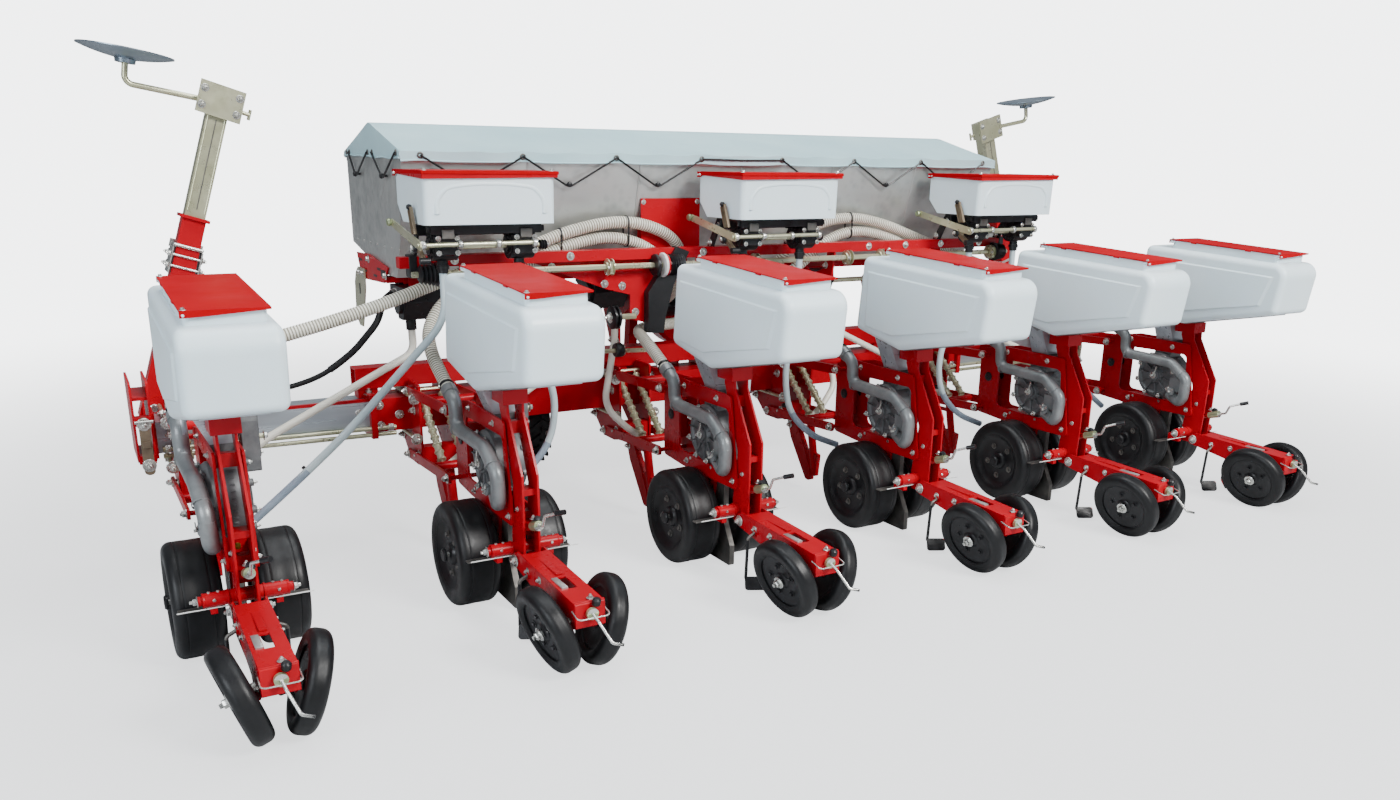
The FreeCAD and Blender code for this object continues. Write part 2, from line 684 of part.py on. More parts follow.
def seed_meter():
    """Round cast meter with its spiral suction pipe, drive column and outlet, for a row at x = 0."""
    drum = turned([(-METER_LEFT, 0), (-METER_LEFT, 36), (-METER_LEFT + 14, 44),
                   (-METER_LEFT + 14, 84), (-METER_LEFT + 4, 92),
                   (-METER_LEFT + 8, METER_RADIUS - 10), (-METER_LEFT + 22, METER_RADIUS),
                   (METER_RIGHT - 20, METER_RADIUS), (METER_RIGHT - 6, METER_RADIUS - 14),
                   (METER_RIGHT, METER_RADIUS - 40), (METER_RIGHT, 0)],
                  (0, METER_Y, METER_Z), (1, 0, 0))
    bosses = []
    for step in range(8):
        turn = math.radians(45.0 * step + 12)
        y = METER_Y + (METER_RADIUS - 6) * math.cos(turn)
        z = METER_Z + (METER_RADIUS - 6) * math.sin(turn)
        bosses.append(rod((METER_RIGHT - 26, y, z), (METER_RIGHT + 2, y, z), 12))
    chute = box(-20, 20, METER_Y - 30, METER_Y + 30, OPENER_HEAD_TOP + SEAT_GAP, METER_Z - METER_RADIUS + 20)
    spiral = bent_rod([(PIPE_X, HOSE_MOUTH_Y, HOSE_MOUTH_Z), (PIPE_X, 946, 716), (PIPE_X, 940, 622),
                       (PIPE_X + 6, 660, 612), (PIPE_X + 14, 566, 540), (PIPE_X + 20, 578, 452)],
                      PIPE_RADIUS, 44)
    sleeve = turned([(-34, PIPE_RADIUS - 2), (-34, PIPE_RADIUS + 4),
                     (0, PIPE_RADIUS + 4), (0, PIPE_RADIUS - 2)],
                    (PIPE_X, HOSE_MOUTH_Y, HOSE_MOUTH_Z), (0, 70, 36))
    web = box(PIPE_X + 12, -METER_LEFT + 12, 700, 850, METER_Z + 66, METER_Z + 96)
    toe = box(PIPE_X + 22, -METER_LEFT + 24, 600, 668, METER_Z - 60, METER_Z + 6)
    column = plate_x([(770, 596), (858, 596), (858, 828), (784, 828), (770, 760)],
                     METER_RIGHT - 4, METER_RIGHT + 46, 8)
    return [fuse([drum, chute, spiral, sleeve, web, toe, column] + bosses + [hopper_seat()])]


# ---------------------------------------------------------------- ground tools of a row
def press_arm():
    """Inverted channel with the two press wheel stubs and the crank at its end."""
    outline = [(ARM_PIVOT_Y + 20, ARM_PIVOT_Z - 22), (ARM_PIVOT_Y + 20, ARM_PIVOT_Z + 20),
               (ARM_PIVOT_Y - 12, ARM_PIVOT_Z + 36), (16, 262), (12, 184), (70, 160), (96, 138), (176, 138),
               (200, 168)]
    channel = plate_x(outline, -ARM_HALF, ARM_HALF, 5)
    inside = ARM_HALF - ARM_WALL
    hollow = [(ARM_PIVOT_Y - 40, 120), (ARM_PIVOT_Y - 40, ARM_PIVOT_Z + 34 - ARM_WALL),
              (16 + ARM_WALL, 262 - ARM_WALL), (16 + ARM_WALL, 120)]
    fork = box(-inside, inside, ARM_PIVOT_Y - 42, ARM_PIVOT_Y + 30, 120, 320)
    channel = channel.cut(plate_x(hollow, -inside, inside)).cut(fork)
    channel = channel.cut(box(-15, 13, 140, 236, 240, 300))
    plate = box(-12, 10, 250, 392, ARM_PIVOT_Z + 28, ARM_PIVOT_Z + 33)
    barrel = rod((-inside, ARM_PIVOT_Y - 64, 258), (inside, ARM_PIVOT_Y - 64, 258), 20)
    stubs = []
    for side in (-1, 1):
        centre = V(side * PRESS_X, PRESS_Y, press_height())
        axis = press_axis(side)
        start = centre - axis * 52
        stubs.append(Part.makeCylinder(AXLE_RADIUS - PIN_FIT, 82, start, axis))
        stubs.append(Part.makeCylinder(16, 20, start, axis))
        stubs.append(Part.makeCylinder(15, 8, centre + axis * 23, axis))
    boss = rod((0, 70, 236), (0, 6, 232), 13)
    knob = rod((0, 6, 232), (0, -6, 231), 19)
    crank = bent_rod([(0, -4, 231), (6, -34, 214), (30, 17 - CRANK_REACH, 158),
                      (62, CRANK_RADIUS - CRANK_REACH, 150)], CRANK_RADIUS, 12)
    reach = ARM_HALF + 8
    pin = rod((-reach, ARM_PIVOT_Y, ARM_PIVOT_Z), (reach, ARM_PIVOT_Y, ARM_PIVOT_Z), LINK_PIN)
    return fuse([channel, plate, barrel] + stubs + [boss, knob, crank, pin] + coverers())


def coverers():
    """Two bent rods from the arm's sides with the small paddles that close the furrow."""
    pieces = []
    for side in (-1, 1):
        x0 = side * (ARM_HALF - 3)
        x1 = side * (ARM_HALF + 34)
        rods = bent_rod([(x0, 396, 232), (x1, 396, 214), (x1, 404, 70)], 6, 14)
        rods_end = bent_rod([(x1, 402, 90), (x1, 406, 46), (side * 58, 376, 34)], 6, 12)
        paddle = plate_z([(-38, -26), (38, -26), (38, 26), (-38, 26)], -3, 3, 12)
        paddle.rotate(V(0, 0, 0), X_AXIS, 58)
        paddle.rotate(V(0, 0, 0), Z_AXIS, side * 28)
        paddle.translate(V(side * 62, 374, 36))
        pieces += [rods, rods_end, paddle]
    return pieces


def furrow_opener():
    """Runner opener on its head between the chassis plates, with the gauge wheels' axle through it."""
    shoe = [(1010, 240), (1016, 150), (950, 30), (880, 8), (640, 8), (640, 90), (690, 180),
            (690, CHASSIS_BOTTOM + 30), (980, CHASSIS_BOTTOM + 30)]
    blade = plate_x(shoe, -11, 11, 8)
    between = CHASSIS_GAP / 2 - SEAT_GAP
    head = box(-between, between, 690, 950, CHASSIS_BOTTOM + 8, OPENER_HEAD_TOP)
    reach = GAUGE_X + GAUGE_WIDTH / 2 + 2
    axle = rod((-reach, GAUGE_Y, GAUGE_RADIUS), (reach, GAUGE_Y, GAUGE_RADIUS), AXLE_RADIUS - PIN_FIT)
    carriers = side_pair([(770, 150), (870, 150), (900, CHASSIS_BOTTOM + 20), (740, CHASSIS_BOTTOM + 20)],
                         20, 12, 12)
    return fuse([blade, head, axle] + carriers)


# ---------------------------------------------------------------- parallel linkage
def spring(start, end):
    """Coil spring between two eyes, drawn as its own close-wound helix's sleeve and end hooks."""
    start = V(*start)
    along = V(*end) - start
    length = along.Length
    body = length - 60
    pitch = body / SPRING_TURNS
    profile = []
    for turn in range(SPRING_TURNS + 1):
        middle = 30 + turn * pitch
        for step in range(-3, 4):
            angle = math.radians(30.0 * step)
            profile.append((middle + SPRING_WIRE * math.sin(angle),
                            SPRING_RADIUS - SPRING_WIRE + SPRING_WIRE * math.cos(angle)))
    profile = [(30 - SPRING_WIRE, 0)] + profile + [(30 + body + SPRING_WIRE, 0)]
    coil = turned(profile, tuple(start), tuple(along))
    hooks = Part.makeCylinder(SPRING_WIRE, length, start, along)
    return coil.fuse(hooks)


def row_links():
    """Parallel linkage of a row: four bars on four pins, tied in pairs, with its two springs."""
    rear, front = link_pivots()
    pieces = []
    for (y0, z0), (y1, z1) in zip(rear, front):
        for side in (-1, 1):
            x0 = min(side * LINK_X, side * (LINK_X + LINK_THICK))
            bar = [(y0 - 22, z0 - 20), (y0 - 22, z0 + 20), (y1 + 22, z1 + 20), (y1 + 22, z1 - 20)]
            pieces.append(plate_x(bar, x0, x0 + LINK_THICK, 16))
        for y, z in ((y0, z0), (y1, z1)):
            reach = LINK_X + LINK_THICK + 8
            pieces.append(rod((-reach, y, z), (reach, y, z), LINK_PIN))
        middle_y = y0 + 0.42 * (y1 - y0)
        middle_z = z0 + 0.42 * (z1 - z0)
        pieces.append(rod((-LINK_X, middle_y, middle_z), (LINK_X, middle_y, middle_z), 17))
    low_y = rear[0][0] + 0.42 * LINK_LENGTH
    low_z = rear[0][1] - 0.42 * LINK_DROP
    for side in (-1, 1):
        pieces.append(spring((side * SPRING_X, low_y, low_z), (side * SPRING_X, front[1][0], front[1][1])))
    return fuse(pieces)


def row_bracket():
    """The two plates, clamped round the toolbar, that carry a row's linkage."""
    _, front = link_pivots()
    clear = UPPER_TUBE_BOTTOM - SEAT_GAP
    outline = [(BRACKET_REAR, BRACKET_LOW + 14), (BRACKET_REAR + 60, BRACKET_LOW),
               (front[0][0] + 40, BRACKET_LOW), (BAR_REAR + BAR_DEPTH + 26, BAR_BOTTOM - 20),
               (BAR_REAR + BAR_DEPTH + 26, clear), (UPPER_TUBE_REAR - 6, clear),
               (UPPER_TUBE_REAR - 12, BRACKET_HIGH), (BRACKET_REAR, BRACKET_HIGH)]
    holes = [(y, z, LINK_PIN + PIN_FIT) for y, z in front]
    return side_pair(outline, 2 * BRACKET_X, BRACKET_PLATE, 5, holes)


# ---------------------------------------------------------------- toolbar
def bar_section(x0, x1, inset):
    return box(x0, x1, BAR_REAR + inset, BAR_REAR + BAR_DEPTH - inset,
               BAR_BOTTOM + inset, BAR_BOTTOM + BAR_HEIGHT - inset)


def inner_bar_rows():
    """Rows whose bracket sits on a sliding tube, outside the red box beam."""
    return [x for x in row_centres() if abs(x) > BAR_HALF]


def toolbar():
    beam = bar_section(-BAR_HALF, BAR_HALF, 0).cut(bar_section(-BAR_HALF - 1, BAR_HALF + 1, BAR_WALL))
    pieces = [beam]
    for x in row_centres():
        if x in inner_bar_rows():
            continue
        for plate in row_bracket():
            pieces.append(moved(plate, x).cut(bar_section(x - 200, x + 200, BAR_WALL / 2)))
    for side in (-1, 1):
        collar = bar_section(-12, 12, -22).cut(bar_section(-13, 13, BAR_WALL / 2))
        pieces.append(moved(collar, side * (BAR_HALF - 12)))
        for x in (side * (BAR_HALF - 12), side * STAND_X[0], side * STAND_X[1]):
            pieces.append(box(x - 40, x + 40, BAR_REAR + 50, BAR_REAR + 120, BAR_BOTTOM + BAR_HEIGHT,
                              UPPER_TUBE_BOTTOM - SEAT_GAP))
    return fuse(pieces + headstock_pieces())


def bar_between(start, end, half_x, half_y):
    """Straight rectangular bar whose cut ends are level."""
    rings = []
    for x, y, z in (start, end):
        corners = [V(x - half_x, y - half_y, z), V(x + half_x, y - half_y, z),
                   V(x + half_x, y + half_y, z), V(x - half_x, y + half_y, z)]
        rings.append(Part.makePolygon(corners + [corners[0]]))
    return Part.makeLoft(rings, True)


def headstock_pieces():
    """Three-point hitch: two lower clevises and an A-shaped mast."""
    pieces = []
    front = BAR_REAR + BAR_DEPTH
    outline = [(front - 4, BAR_BOTTOM), (LOWER_PIN_Y - 60, LOWER_PIN_Z - 45),
               (LOWER_PIN_Y + 40, LOWER_PIN_Z - 45), (LOWER_PIN_Y + 40, LOWER_PIN_Z + 45),
               (LOWER_PIN_Y - 60, LOWER_PIN_Z + 45), (front - 4, BAR_BOTTOM + BAR_HEIGHT)]
    hole = [(LOWER_PIN_Y, LOWER_PIN_Z, LOWER_PIN_DIA / 2)]
    for side in (-1, 1):
        for plate in side_pair(outline, CLEVIS_GAP, CLEVIS_PLATE, 10, hole):
            pieces.append(moved(plate, side * LOWER_PIN_SPREAD / 2))
        tie_x = side * LOWER_PIN_SPREAD / 2
        pieces.append(box(tie_x - CLEVIS_GAP / 2, tie_x + CLEVIS_GAP / 2, front - 4, front + 220,
                          BAR_BOTTOM + 40, BAR_BOTTOM + 100))
    top_z = LOWER_PIN_Z + MAST_HEIGHT
    ear = [(LOWER_PIN_Y - 62, top_z - 110), (LOWER_PIN_Y + 30, top_z - 110), (LOWER_PIN_Y + 34, top_z + 34),
           (LOWER_PIN_Y - 40, top_z + 34)]
    pieces += side_pair(ear, TOP_LINK_GAP, TOP_LINK_PLATE, 12, [(LOWER_PIN_Y, top_z, TOP_PIN_DIA / 2)])
    for side in (-1, 1):
        foot = (side * MAST_SPREAD / 2, front + 26, BAR_BOTTOM + 10)
        peak = (side * 60, LOWER_PIN_Y - 30, top_z - 70)
        pieces.append(bar_between(foot, peak, 22, 28))
    pieces.append(box(-84, 84, LOWER_PIN_Y - 58, LOWER_PIN_Y - 6, top_z - 124, top_z - 66))
    return pieces


def toolbar_extension(side):
    """Sliding inner tube with its red-painted guide strip along the top rear edge."""
    inset = BAR_WALL + INNER_FIT
    x0 = min(side * INNER_START, side * INNER_END)
    x1 = max(side * INNER_START, side * INNER_END)
    return bar_section(x0, x1, inset).cut(bar_section(x0 - 1, x1 + 1, inset + 8))


def toolbar_end(side):
    """Outer row's bracket plates, the end cap and the marker's fork, on one sliding tube."""
    inset = BAR_WALL + INNER_FIT
    pieces = []
    for x in inner_bar_rows():
        if x * side < 0:
            continue
        for plate in row_bracket():
            pieces.append(moved(plate, x).cut(bar_section(x - 200, x + 200, inset)))
        strip_start = side * (BAR_HALF + 2)
        strip_end = x - side * (BRACKET_X + BRACKET_PLATE)
        top = BAR_BOTTOM + BAR_HEIGHT - inset
        pieces.append(box(min(strip_start, strip_end), max(strip_start, strip_end), BAR_REAR + inset,
                          BAR_REAR + inset + STRIP_DEPTH, top, top + STRIP_HEIGHT))
    cap = box(-INNER_END - 10, -INNER_END, BAR_REAR - 10, BAR_REAR + BAR_DEPTH + 10,
              BAR_BOTTOM - 6, BAR_BOTTOM + BAR_HEIGHT + 30)
    cheek = [(BRACKET_REAR + 40, BAR_BOTTOM), (BAR_REAR + BAR_DEPTH, BAR_BOTTOM), (BAR_REAR + BAR_DEPTH, 770),
             (BRACKET_REAR + 40, 770)]
    end_plates = [plate_x(cheek, -2454, -2446, 10), plate_x(cheek, -2398, -2390, 10)]
    bridge = box(-2450, -2392, BRACKET_REAR + 60, BAR_REAR + BAR_DEPTH - 20, 700, 712)
    floor_tie = box(-2450, -2392, BRACKET_REAR + 60, BAR_REAR + BAR_DEPTH - 20,
                    BAR_BOTTOM + 4, BAR_BOTTOM + 14)
    link_bar = plate_y([(-2440, 440), (-2404, 440), (-2404, 652), (-2440, 652)], 1470, 1482, 16)
    link_pins = [rod((-2422, 1462, z), (-2422, BRACKET_REAR + 72, z), 9) for z in (476, 628)]
    lugs = [box(-2450, -2394, BRACKET_REAR + 30, BRACKET_REAR + 70, z - 16, z + 16) for z in (486, 628)]
    sweep = math.hypot(MARKER_SOCKET / 2, MARKER_FOOT) + RUN_GAP
    fork_side = MARKER_SOCKET / 2 + FORK_GAP
    x_wall = -MARKER_X + sweep
    z_floor = MARKER_Z - sweep
    y_rear = MARKER_Y - fork_side - FORK_PLATE
    y_front = MARKER_Y + fork_side + FORK_PLATE
    arm = box(x_wall, x_wall + 80, BAR_REAR + BAR_DEPTH - inset, y_front, z_floor, MARKER_Z - 10)
    wall = box(x_wall, x_wall + 10, y_rear, y_front, z_floor - 10, MARKER_Z + 60)
    floor = box(-MARKER_X - 40, x_wall + 10, y_rear, y_front, z_floor - 10, z_floor)
    ear = [(-MARKER_X - 40, z_floor - 10), (x_wall + 5, z_floor - 10), (x_wall + 5, MARKER_Z + 60),
           (-MARKER_X + 10, MARKER_Z + 36), (-MARKER_X - 40, MARKER_Z + 20)]
    ears = [plate_y(ear, y_rear, y_rear + FORK_PLATE), plate_y(ear, y_front - FORK_PLATE, y_front)]
    pin = rod((-MARKER_X, y_rear - 12, MARKER_Z), (-MARKER_X, y_front + 12, MARKER_Z), MARKER_PIN)
    end_box = fuse([cap, bridge, floor_tie, link_bar] + end_plates + link_pins + lugs)
    for piece in (end_box, fuse([arm, wall, floor, pin] + ears)):
        pieces.append(piece if side < 0 else mirror_x(piece))
    return pieces


# ---------------------------------------------------------------- hopper stands and upper beam
def stand_plate(x):
    """Upright plate from the lower tube to the hopper, with an arm back to the upper beam."""
    foot = UPPER_TUBE_BOTTOM + UPPER_TUBE
    bin_low = BIN_BOTTOM - SEAT_GAP
    beam_low = UPPER_BOTTOM + 1
    outline = [(UPPER_TUBE_REAR, foot - 4), (UPPER_TUBE_REAR + UPPER_TUBE, foot - 4),
               (BAR_REAR + BAR_DEPTH + 60, BIN_BOTTOM - 140), (BIN_FLOOR_FRONT + 4, bin_low),
               (BIN_FLOOR_REAR - 4, bin_low), (BIN_FLOOR_REAR - 90, 1056),
               (UPPER_REAR + UPPER_DEPTH + 14, 1090),
               (UPPER_REAR + UPPER_DEPTH - 2, beam_low), (UPPER_REAR + 4, beam_low), (UPPER_REAR + 20, 1060),
               (1470, 970), (UPPER_TUBE_REAR, 860)]
    return plate_x(outline, x - STAND_PLATE / 2, x + STAND_PLATE / 2, 8,
                   [(FERT_SHAFT_Y, FERT_SHAFT_Z, SHAFT_RADIUS + RUN_GAP)])


def hopper_frame():
    """Lower tube on the toolbar's clamps, the stands, the rail under the hopper and the upper beam."""
    beam = box(-UPPER_HALF, UPPER_HALF, UPPER_REAR, UPPER_REAR + UPPER_DEPTH,
               UPPER_BOTTOM, UPPER_BOTTOM + UPPER_HEIGHT)
    beam = beam.cut(box(-UPPER_HALF - 1, UPPER_HALF + 1, UPPER_REAR + 4, UPPER_REAR + UPPER_DEPTH - 4,
                        UPPER_BOTTOM + 4, UPPER_BOTTOM + UPPER_HEIGHT - 4))
    top = UPPER_TUBE_BOTTOM + UPPER_TUBE
    tube = box(-UPPER_TUBE_HALF, UPPER_TUBE_HALF, UPPER_TUBE_REAR, UPPER_TUBE_REAR + UPPER_TUBE,
               UPPER_TUBE_BOTTOM, top)
    tube = tube.cut(box(-UPPER_TUBE_HALF - 1, UPPER_TUBE_HALF + 1, UPPER_TUBE_REAR + 6,
                        UPPER_TUBE_REAR + UPPER_TUBE - 6, UPPER_TUBE_BOTTOM + 6, top - 6))
    rail = box(-BIN_HALF + 60, BIN_HALF - 60, 1560, 1640, BIN_BOTTOM - 40, BIN_BOTTOM - SEAT_GAP)
    rail = rail.cut(box(-BIN_HALF + 59, BIN_HALF - 59, 1564, 1636, BIN_BOTTOM - 41, BIN_BOTTOM - 6))
    pieces = [beam, tube, rail]
    for x in STAND_X:
        pieces += [stand_plate(-x), stand_plate(x)]
    return fuse(pieces)


# ---------------------------------------------------------------- fertiliser hopper
def bin_outline(inset):
    above = 1 if inset else 0
    return [(BIN_REAR + inset, BIN_TOP + above), (BIN_KNEE_Y + inset, BIN_KNEE_Z + inset * 0.3),
            (BIN_FLOOR_REAR + inset * 0.7, BIN_BOTTOM + inset),
            (BIN_FLOOR_FRONT - inset * 0.3, BIN_BOTTOM + inset),
            (BIN_FRONT - inset, BIN_SIDE_BOTTOM + inset), (BIN_FRONT - inset, BIN_TOP + above)]


def fertiliser_hopper():
    """Folded sheet bin, open at the top, with its outlets in the floor."""
    shell = plate_x(bin_outline(0), -BIN_HALF, BIN_HALF)
    shell = shell.cut(plate_x(bin_outline(BIN_WALL), -BIN_HALF + BIN_WALL, BIN_HALF - BIN_WALL))
    for x in FERT_METER_X:
        for cx in (-x, x):
            shell = shell.cut(box(cx - 50, cx + 50, FERT_SHAFT_Y + 90, FERT_SHAFT_Y + 130, BIN_BOTTOM - 1,
                                  BIN_BOTTOM + BIN_WALL + 1))
    return shell


def tarp_cover():
    """Ridged cover sheet over the hopper, hanging a little over its rim."""
    out = COVER_THICK + SEAT_GAP

    def tent(inset, drop):
        y0 = BIN_REAR - out + inset
        y1 = BIN_FRONT + out - inset
        x1 = BIN_HALF + out - inset
        eave = BIN_TOP + COVER_THICK + 1 - inset
        skirt = box(-x1, x1, y0, y1, BIN_TOP - drop, eave)
        ridge = plate_x([(y0, eave), (RIDGE_Y, RIDGE_Z - inset), (y1, eave)], -x1, x1)
        return skirt.fuse(ridge)

    return tent(0, COVER_DROP).cut(tent(COVER_THICK, COVER_DROP + 1))


def fertiliser_meter(x):
    """Cast metering box under the bin with its drum and two outlets."""
    half = FERT_METER_HALF
    top = BIN_BOTTOM - 42
    body = plate_x([(FERT_SHAFT_Y - 66, top), (FERT_SHAFT_Y - 72, FERT_SHAFT_Z + 8),
                    (FERT_SHAFT_Y - 30, FERT_SHAFT_Z - 66), (FERT_SHAFT_Y + 34, FERT_SHAFT_Z - 66),
                    (FERT_SHAFT_Y + 70, FERT_SHAFT_Z + 8),
                    (BIN_FLOOR_FRONT, top - 24), (BIN_FLOOR_FRONT, top)],
                   x - half, x + half, 6)
    drum = rod((x - half - 14, FERT_SHAFT_Y, FERT_SHAFT_Z), (x + half + 14, FERT_SHAFT_Y, FERT_SHAFT_Z), 44)
    throat = box(x - 56, x + 56, FERT_SHAFT_Y + 84, BIN_FLOOR_FRONT - 4, top - 4, BIN_BOTTOM - SEAT_GAP)
    pieces = [body, drum, throat]
    for cx in (x - FERT_OUTLET, x + FERT_OUTLET):
        pieces.append(rod((cx, FERT_SHAFT_Y, FERT_SHAFT_Z - 40),
                          (cx, FERT_SHAFT_Y - 6, FERT_SHAFT_Z - 108), 21))
    return pieces


def fertiliser_outlets():
    """Lines of the outlets that feed the rows."""
    return [s * x + t * FERT_OUTLET for s in (-1, 1) for x in FERT_METER_X for t in (-1, 1)]


def fertiliser_meters():
    """On each side, the metering boxes on their common hexagonal shaft."""
    sides = []
    for side in (-1, 1):
        pieces = []
        for x in FERT_METER_X:
            pieces += fertiliser_meter(side * x)
        pieces.append(hex_bar((side * (min(FERT_METER_X) - 140), FERT_SHAFT_Y, FERT_SHAFT_Z),
                              (side * (BIN_HALF - 4), FERT_SHAFT_Y, FERT_SHAFT_Z), SHAFT_RADIUS))
        sides.append(fuse(pieces))
    return sides


def fertiliser_opener():
    """Curved shank between a row's bracket plates with its narrow point and feed boot, for a row at x = 0."""
    inside = BRACKET_X - SEAT_GAP
    clamp = box(-inside, inside, 1496, 1556, BRACKET_LOW + 6, BRACKET_LOW + 84)
    shank = plate_x([(1504, 400), (1552, 400), (1556, 326), (1520, 236), (1440, 128),
                     (FERT_TIP_Y + 22, FERT_TIP_Z), (FERT_TIP_Y - 14, FERT_TIP_Z - 4),
                     (FERT_TIP_Y - 10, 118), (1412, 222), (1468, 300), (1500, 340)], -14, 14, 12)
    blade = plate_x([(FERT_TIP_Y - 70, 196), (1400, 206), (FERT_TIP_Y + 10, FERT_TIP_Z + 20),
                     (FERT_TIP_Y - 56, FERT_TIP_Z + 30)], -9, 9, 8)
    boot = rod((0, FERT_TUBE_Y, 345 - SEAT_GAP), (0, FERT_TIP_Y - 36, 120), FERT_TUBE + 4)
    strap = box(-8, 8, FERT_TUBE_Y + 2, 1490, 300, 316)
    return fuse([clamp, shank, blade, boot, strap])


# ---------------------------------------------------------------- granule hoppers
def granule_centres():
    middle = (GRANULE_COUNT - 1) / 2.0
    return [(i - middle) * GRANULE_SPACING for i in range(GRANULE_COUNT)]


def granule_solid(inset, top_extra):
    half = GRANULE_WIDTH / 2 - inset
    outline = [(GRANULE_REAR + inset, GRANULE_TOP + top_extra),
               (GRANULE_REAR + 6 + inset, GRANULE_BOTTOM + inset),
               (GRANULE_FRONT - 60 - inset, GRANULE_BOTTOM + inset),
               (GRANULE_FRONT - inset, GRANULE_BOTTOM + 60 + inset),
               (GRANULE_FRONT - inset, GRANULE_TOP + top_extra)]
    body = plate_x(outline, -half, half)
    corner = GRANULE_CORNER - inset
    rear = [edge for edge in body.Edges
            if edge.BoundBox.ZLength > 60 and edge.CenterOfMass.y < GRANULE_REAR + 20]
    return body.makeFillet(corner, rear)


def granule_hinge(start, end, radius):
    """Pair of round pieces across the hopper's two sides, on its lid's hinge line."""
    y = GRANULE_FRONT + 2
    z = GRANULE_TOP - 8
    half = GRANULE_WIDTH / 2
    return [rod((side * (half + start), y, z), (side * (half + end), y, z), radius) for side in (-1, 1)]


def granule_hopper(x):
    """Moulded tub with its floor's two outlets over the metering units."""
    tub = granule_solid(0, 0)
    tub = tub.multiFuse(granule_hinge(-3, 4, 8)).cut(granule_solid(GRANULE_WALL, 2))
    tub = tub.multiFuse(granule_hinge(-1, 12, HINGE_PIN))
    for side in (-1, 1):
        cx = side * GRANULE_METER_X
        tub = tub.cut(box(cx - 25, cx + 25, GRANULE_METER_Y, GRANULE_METER_Y + 60, GRANULE_BOTTOM - 1,
                          GRANULE_BOTTOM + GRANULE_WALL + 1))
    return moved(tub, x)


def granule_lid(x):
    """Lid with three-cornered side flanges and a shallow valley, hinged near its front edge."""
    over = 12.0
    half = GRANULE_WIDTH / 2 + 6
    z = GRANULE_TOP + LID_GAP
    rear = GRANULE_REAR - over
    front = GRANULE_FRONT + over
    sheet = box(-half - 3, half + 3, rear, front, z, z + 3)
    lip = box(-half - 3, half + 3, rear, rear + 3, z - 8, z + 2)
    flange = [(rear, z - 8), (front - 40, z - 12), (front - 24, z - 20), (front, z - 20), (front, z + 2),
              (rear, z + 2)]
    lid = fuse([sheet, lip] + side_pair(flange, 2 * half, 3))
    for hole in granule_hinge(4, 16, HINGE_PIN + PIN_FIT):
        lid = lid.cut(hole)
    return moved(lid, x)


def granule_meters(x):
    """Funnel plate, two metering units, their shaft with its end coupling, and the two brackets."""
    under = GRANULE_BOTTOM - SEAT_GAP
    pieces = [box(x - 205, x + 205, 1010, 1205, under - 10, under),
              box(x - 205, x + 205, 1010, 1016, under - 34, under),
              box(x - 205, x + 205, 1199, 1205, under - 34, under)]
    for side in (-1, 1):
        cx = x + side * GRANULE_METER_X
        pieces.append(box(cx - 38, cx + 38, 1018, 1150, GRANULE_METER_Z + 34, under - 8))
        pieces.append(rod((cx - 46, GRANULE_METER_Y + 20, GRANULE_METER_Z),
                          (cx + 46, GRANULE_METER_Y + 20, GRANULE_METER_Z), 48))
        pieces.append(rod((cx - 52, GRANULE_METER_Y + 20, GRANULE_METER_Z),
                          (cx + 52, GRANULE_METER_Y + 20, GRANULE_METER_Z), 24))
        pieces.append(rod((cx, GRANULE_METER_Y + 28, GRANULE_METER_Z - 30),
                          (cx, GRANULE_METER_Y + 28, GRANULE_METER_Z - 92), GRANULE_TUBE + 5))
    pieces.append(rod((x - 250, GRANULE_METER_Y + 20, GRANULE_METER_Z),
                      (x + 250, GRANULE_METER_Y + 20, GRANULE_METER_Z), 9))
    lever = plate_x([(1000, GRANULE_METER_Z - 40), (1018, GRANULE_METER_Z - 46), (1096, GRANULE_METER_Z - 4),
                     (1082, GRANULE_METER_Z + 14)], x - 232, x - 226, 4)
    pieces += [lever, rod((x - 250, 1009, GRANULE_METER_Z - 41), (x - 214, 1009, GRANULE_METER_Z - 41), 12)]
    top = UPPER_BOTTOM + UPPER_HEIGHT
    for side in (-1, 1):
        foot = [(1170, under), (1205, under - 2), (UPPER_REAR + 50, top), (UPPER_REAR + 4, top)]
        pieces.append(plate_x(foot, x + side * 198 - 4, x + side * 198 + 4))
    return fuse(pieces)


def drop_tube(points, radius):
    """Stiff tube along straight runs joined by arcs as large as the runs allow."""
    points = [V(*p) for p in points]
    wire = arc_path([tuple(p) for p in points], hose_radii(points))
    return tube_along(wire, points[0], points[1] - points[0], radius)


def granule_tubes():
    """Drop tube from each granule metering unit to its row, coming in from the machine's middle."""
    tubes = []
    sources = [x + side * GRANULE_METER_X for x in granule_centres() for side in (-1, 1)]
    y = GRANULE_METER_Y + 28
    top = GRANULE_METER_Z - 92 - SEAT_GAP
    for source, row in zip(sources, row_centres()):
        inward = -1 if row > 0 else 1
        outermost = abs(row) > 2 * ROW_SPACING
        if outermost:
            route = [(source, y, 990), (row + inward * 460, y, 620), (row + inward * 262, y + 4, 452)]
        else:
            route = [(source, y, 1010), (row + inward * 356, y + 8, 660), (row + inward * 330, y + 6, 486),
                     (row + inward * 212, y - 4, 366)]
        tubes.append(drop_tube([(source, y, top)] + route + [(row + inward * 66, y - 16, 306)], GRANULE_TUBE))
    return tubes


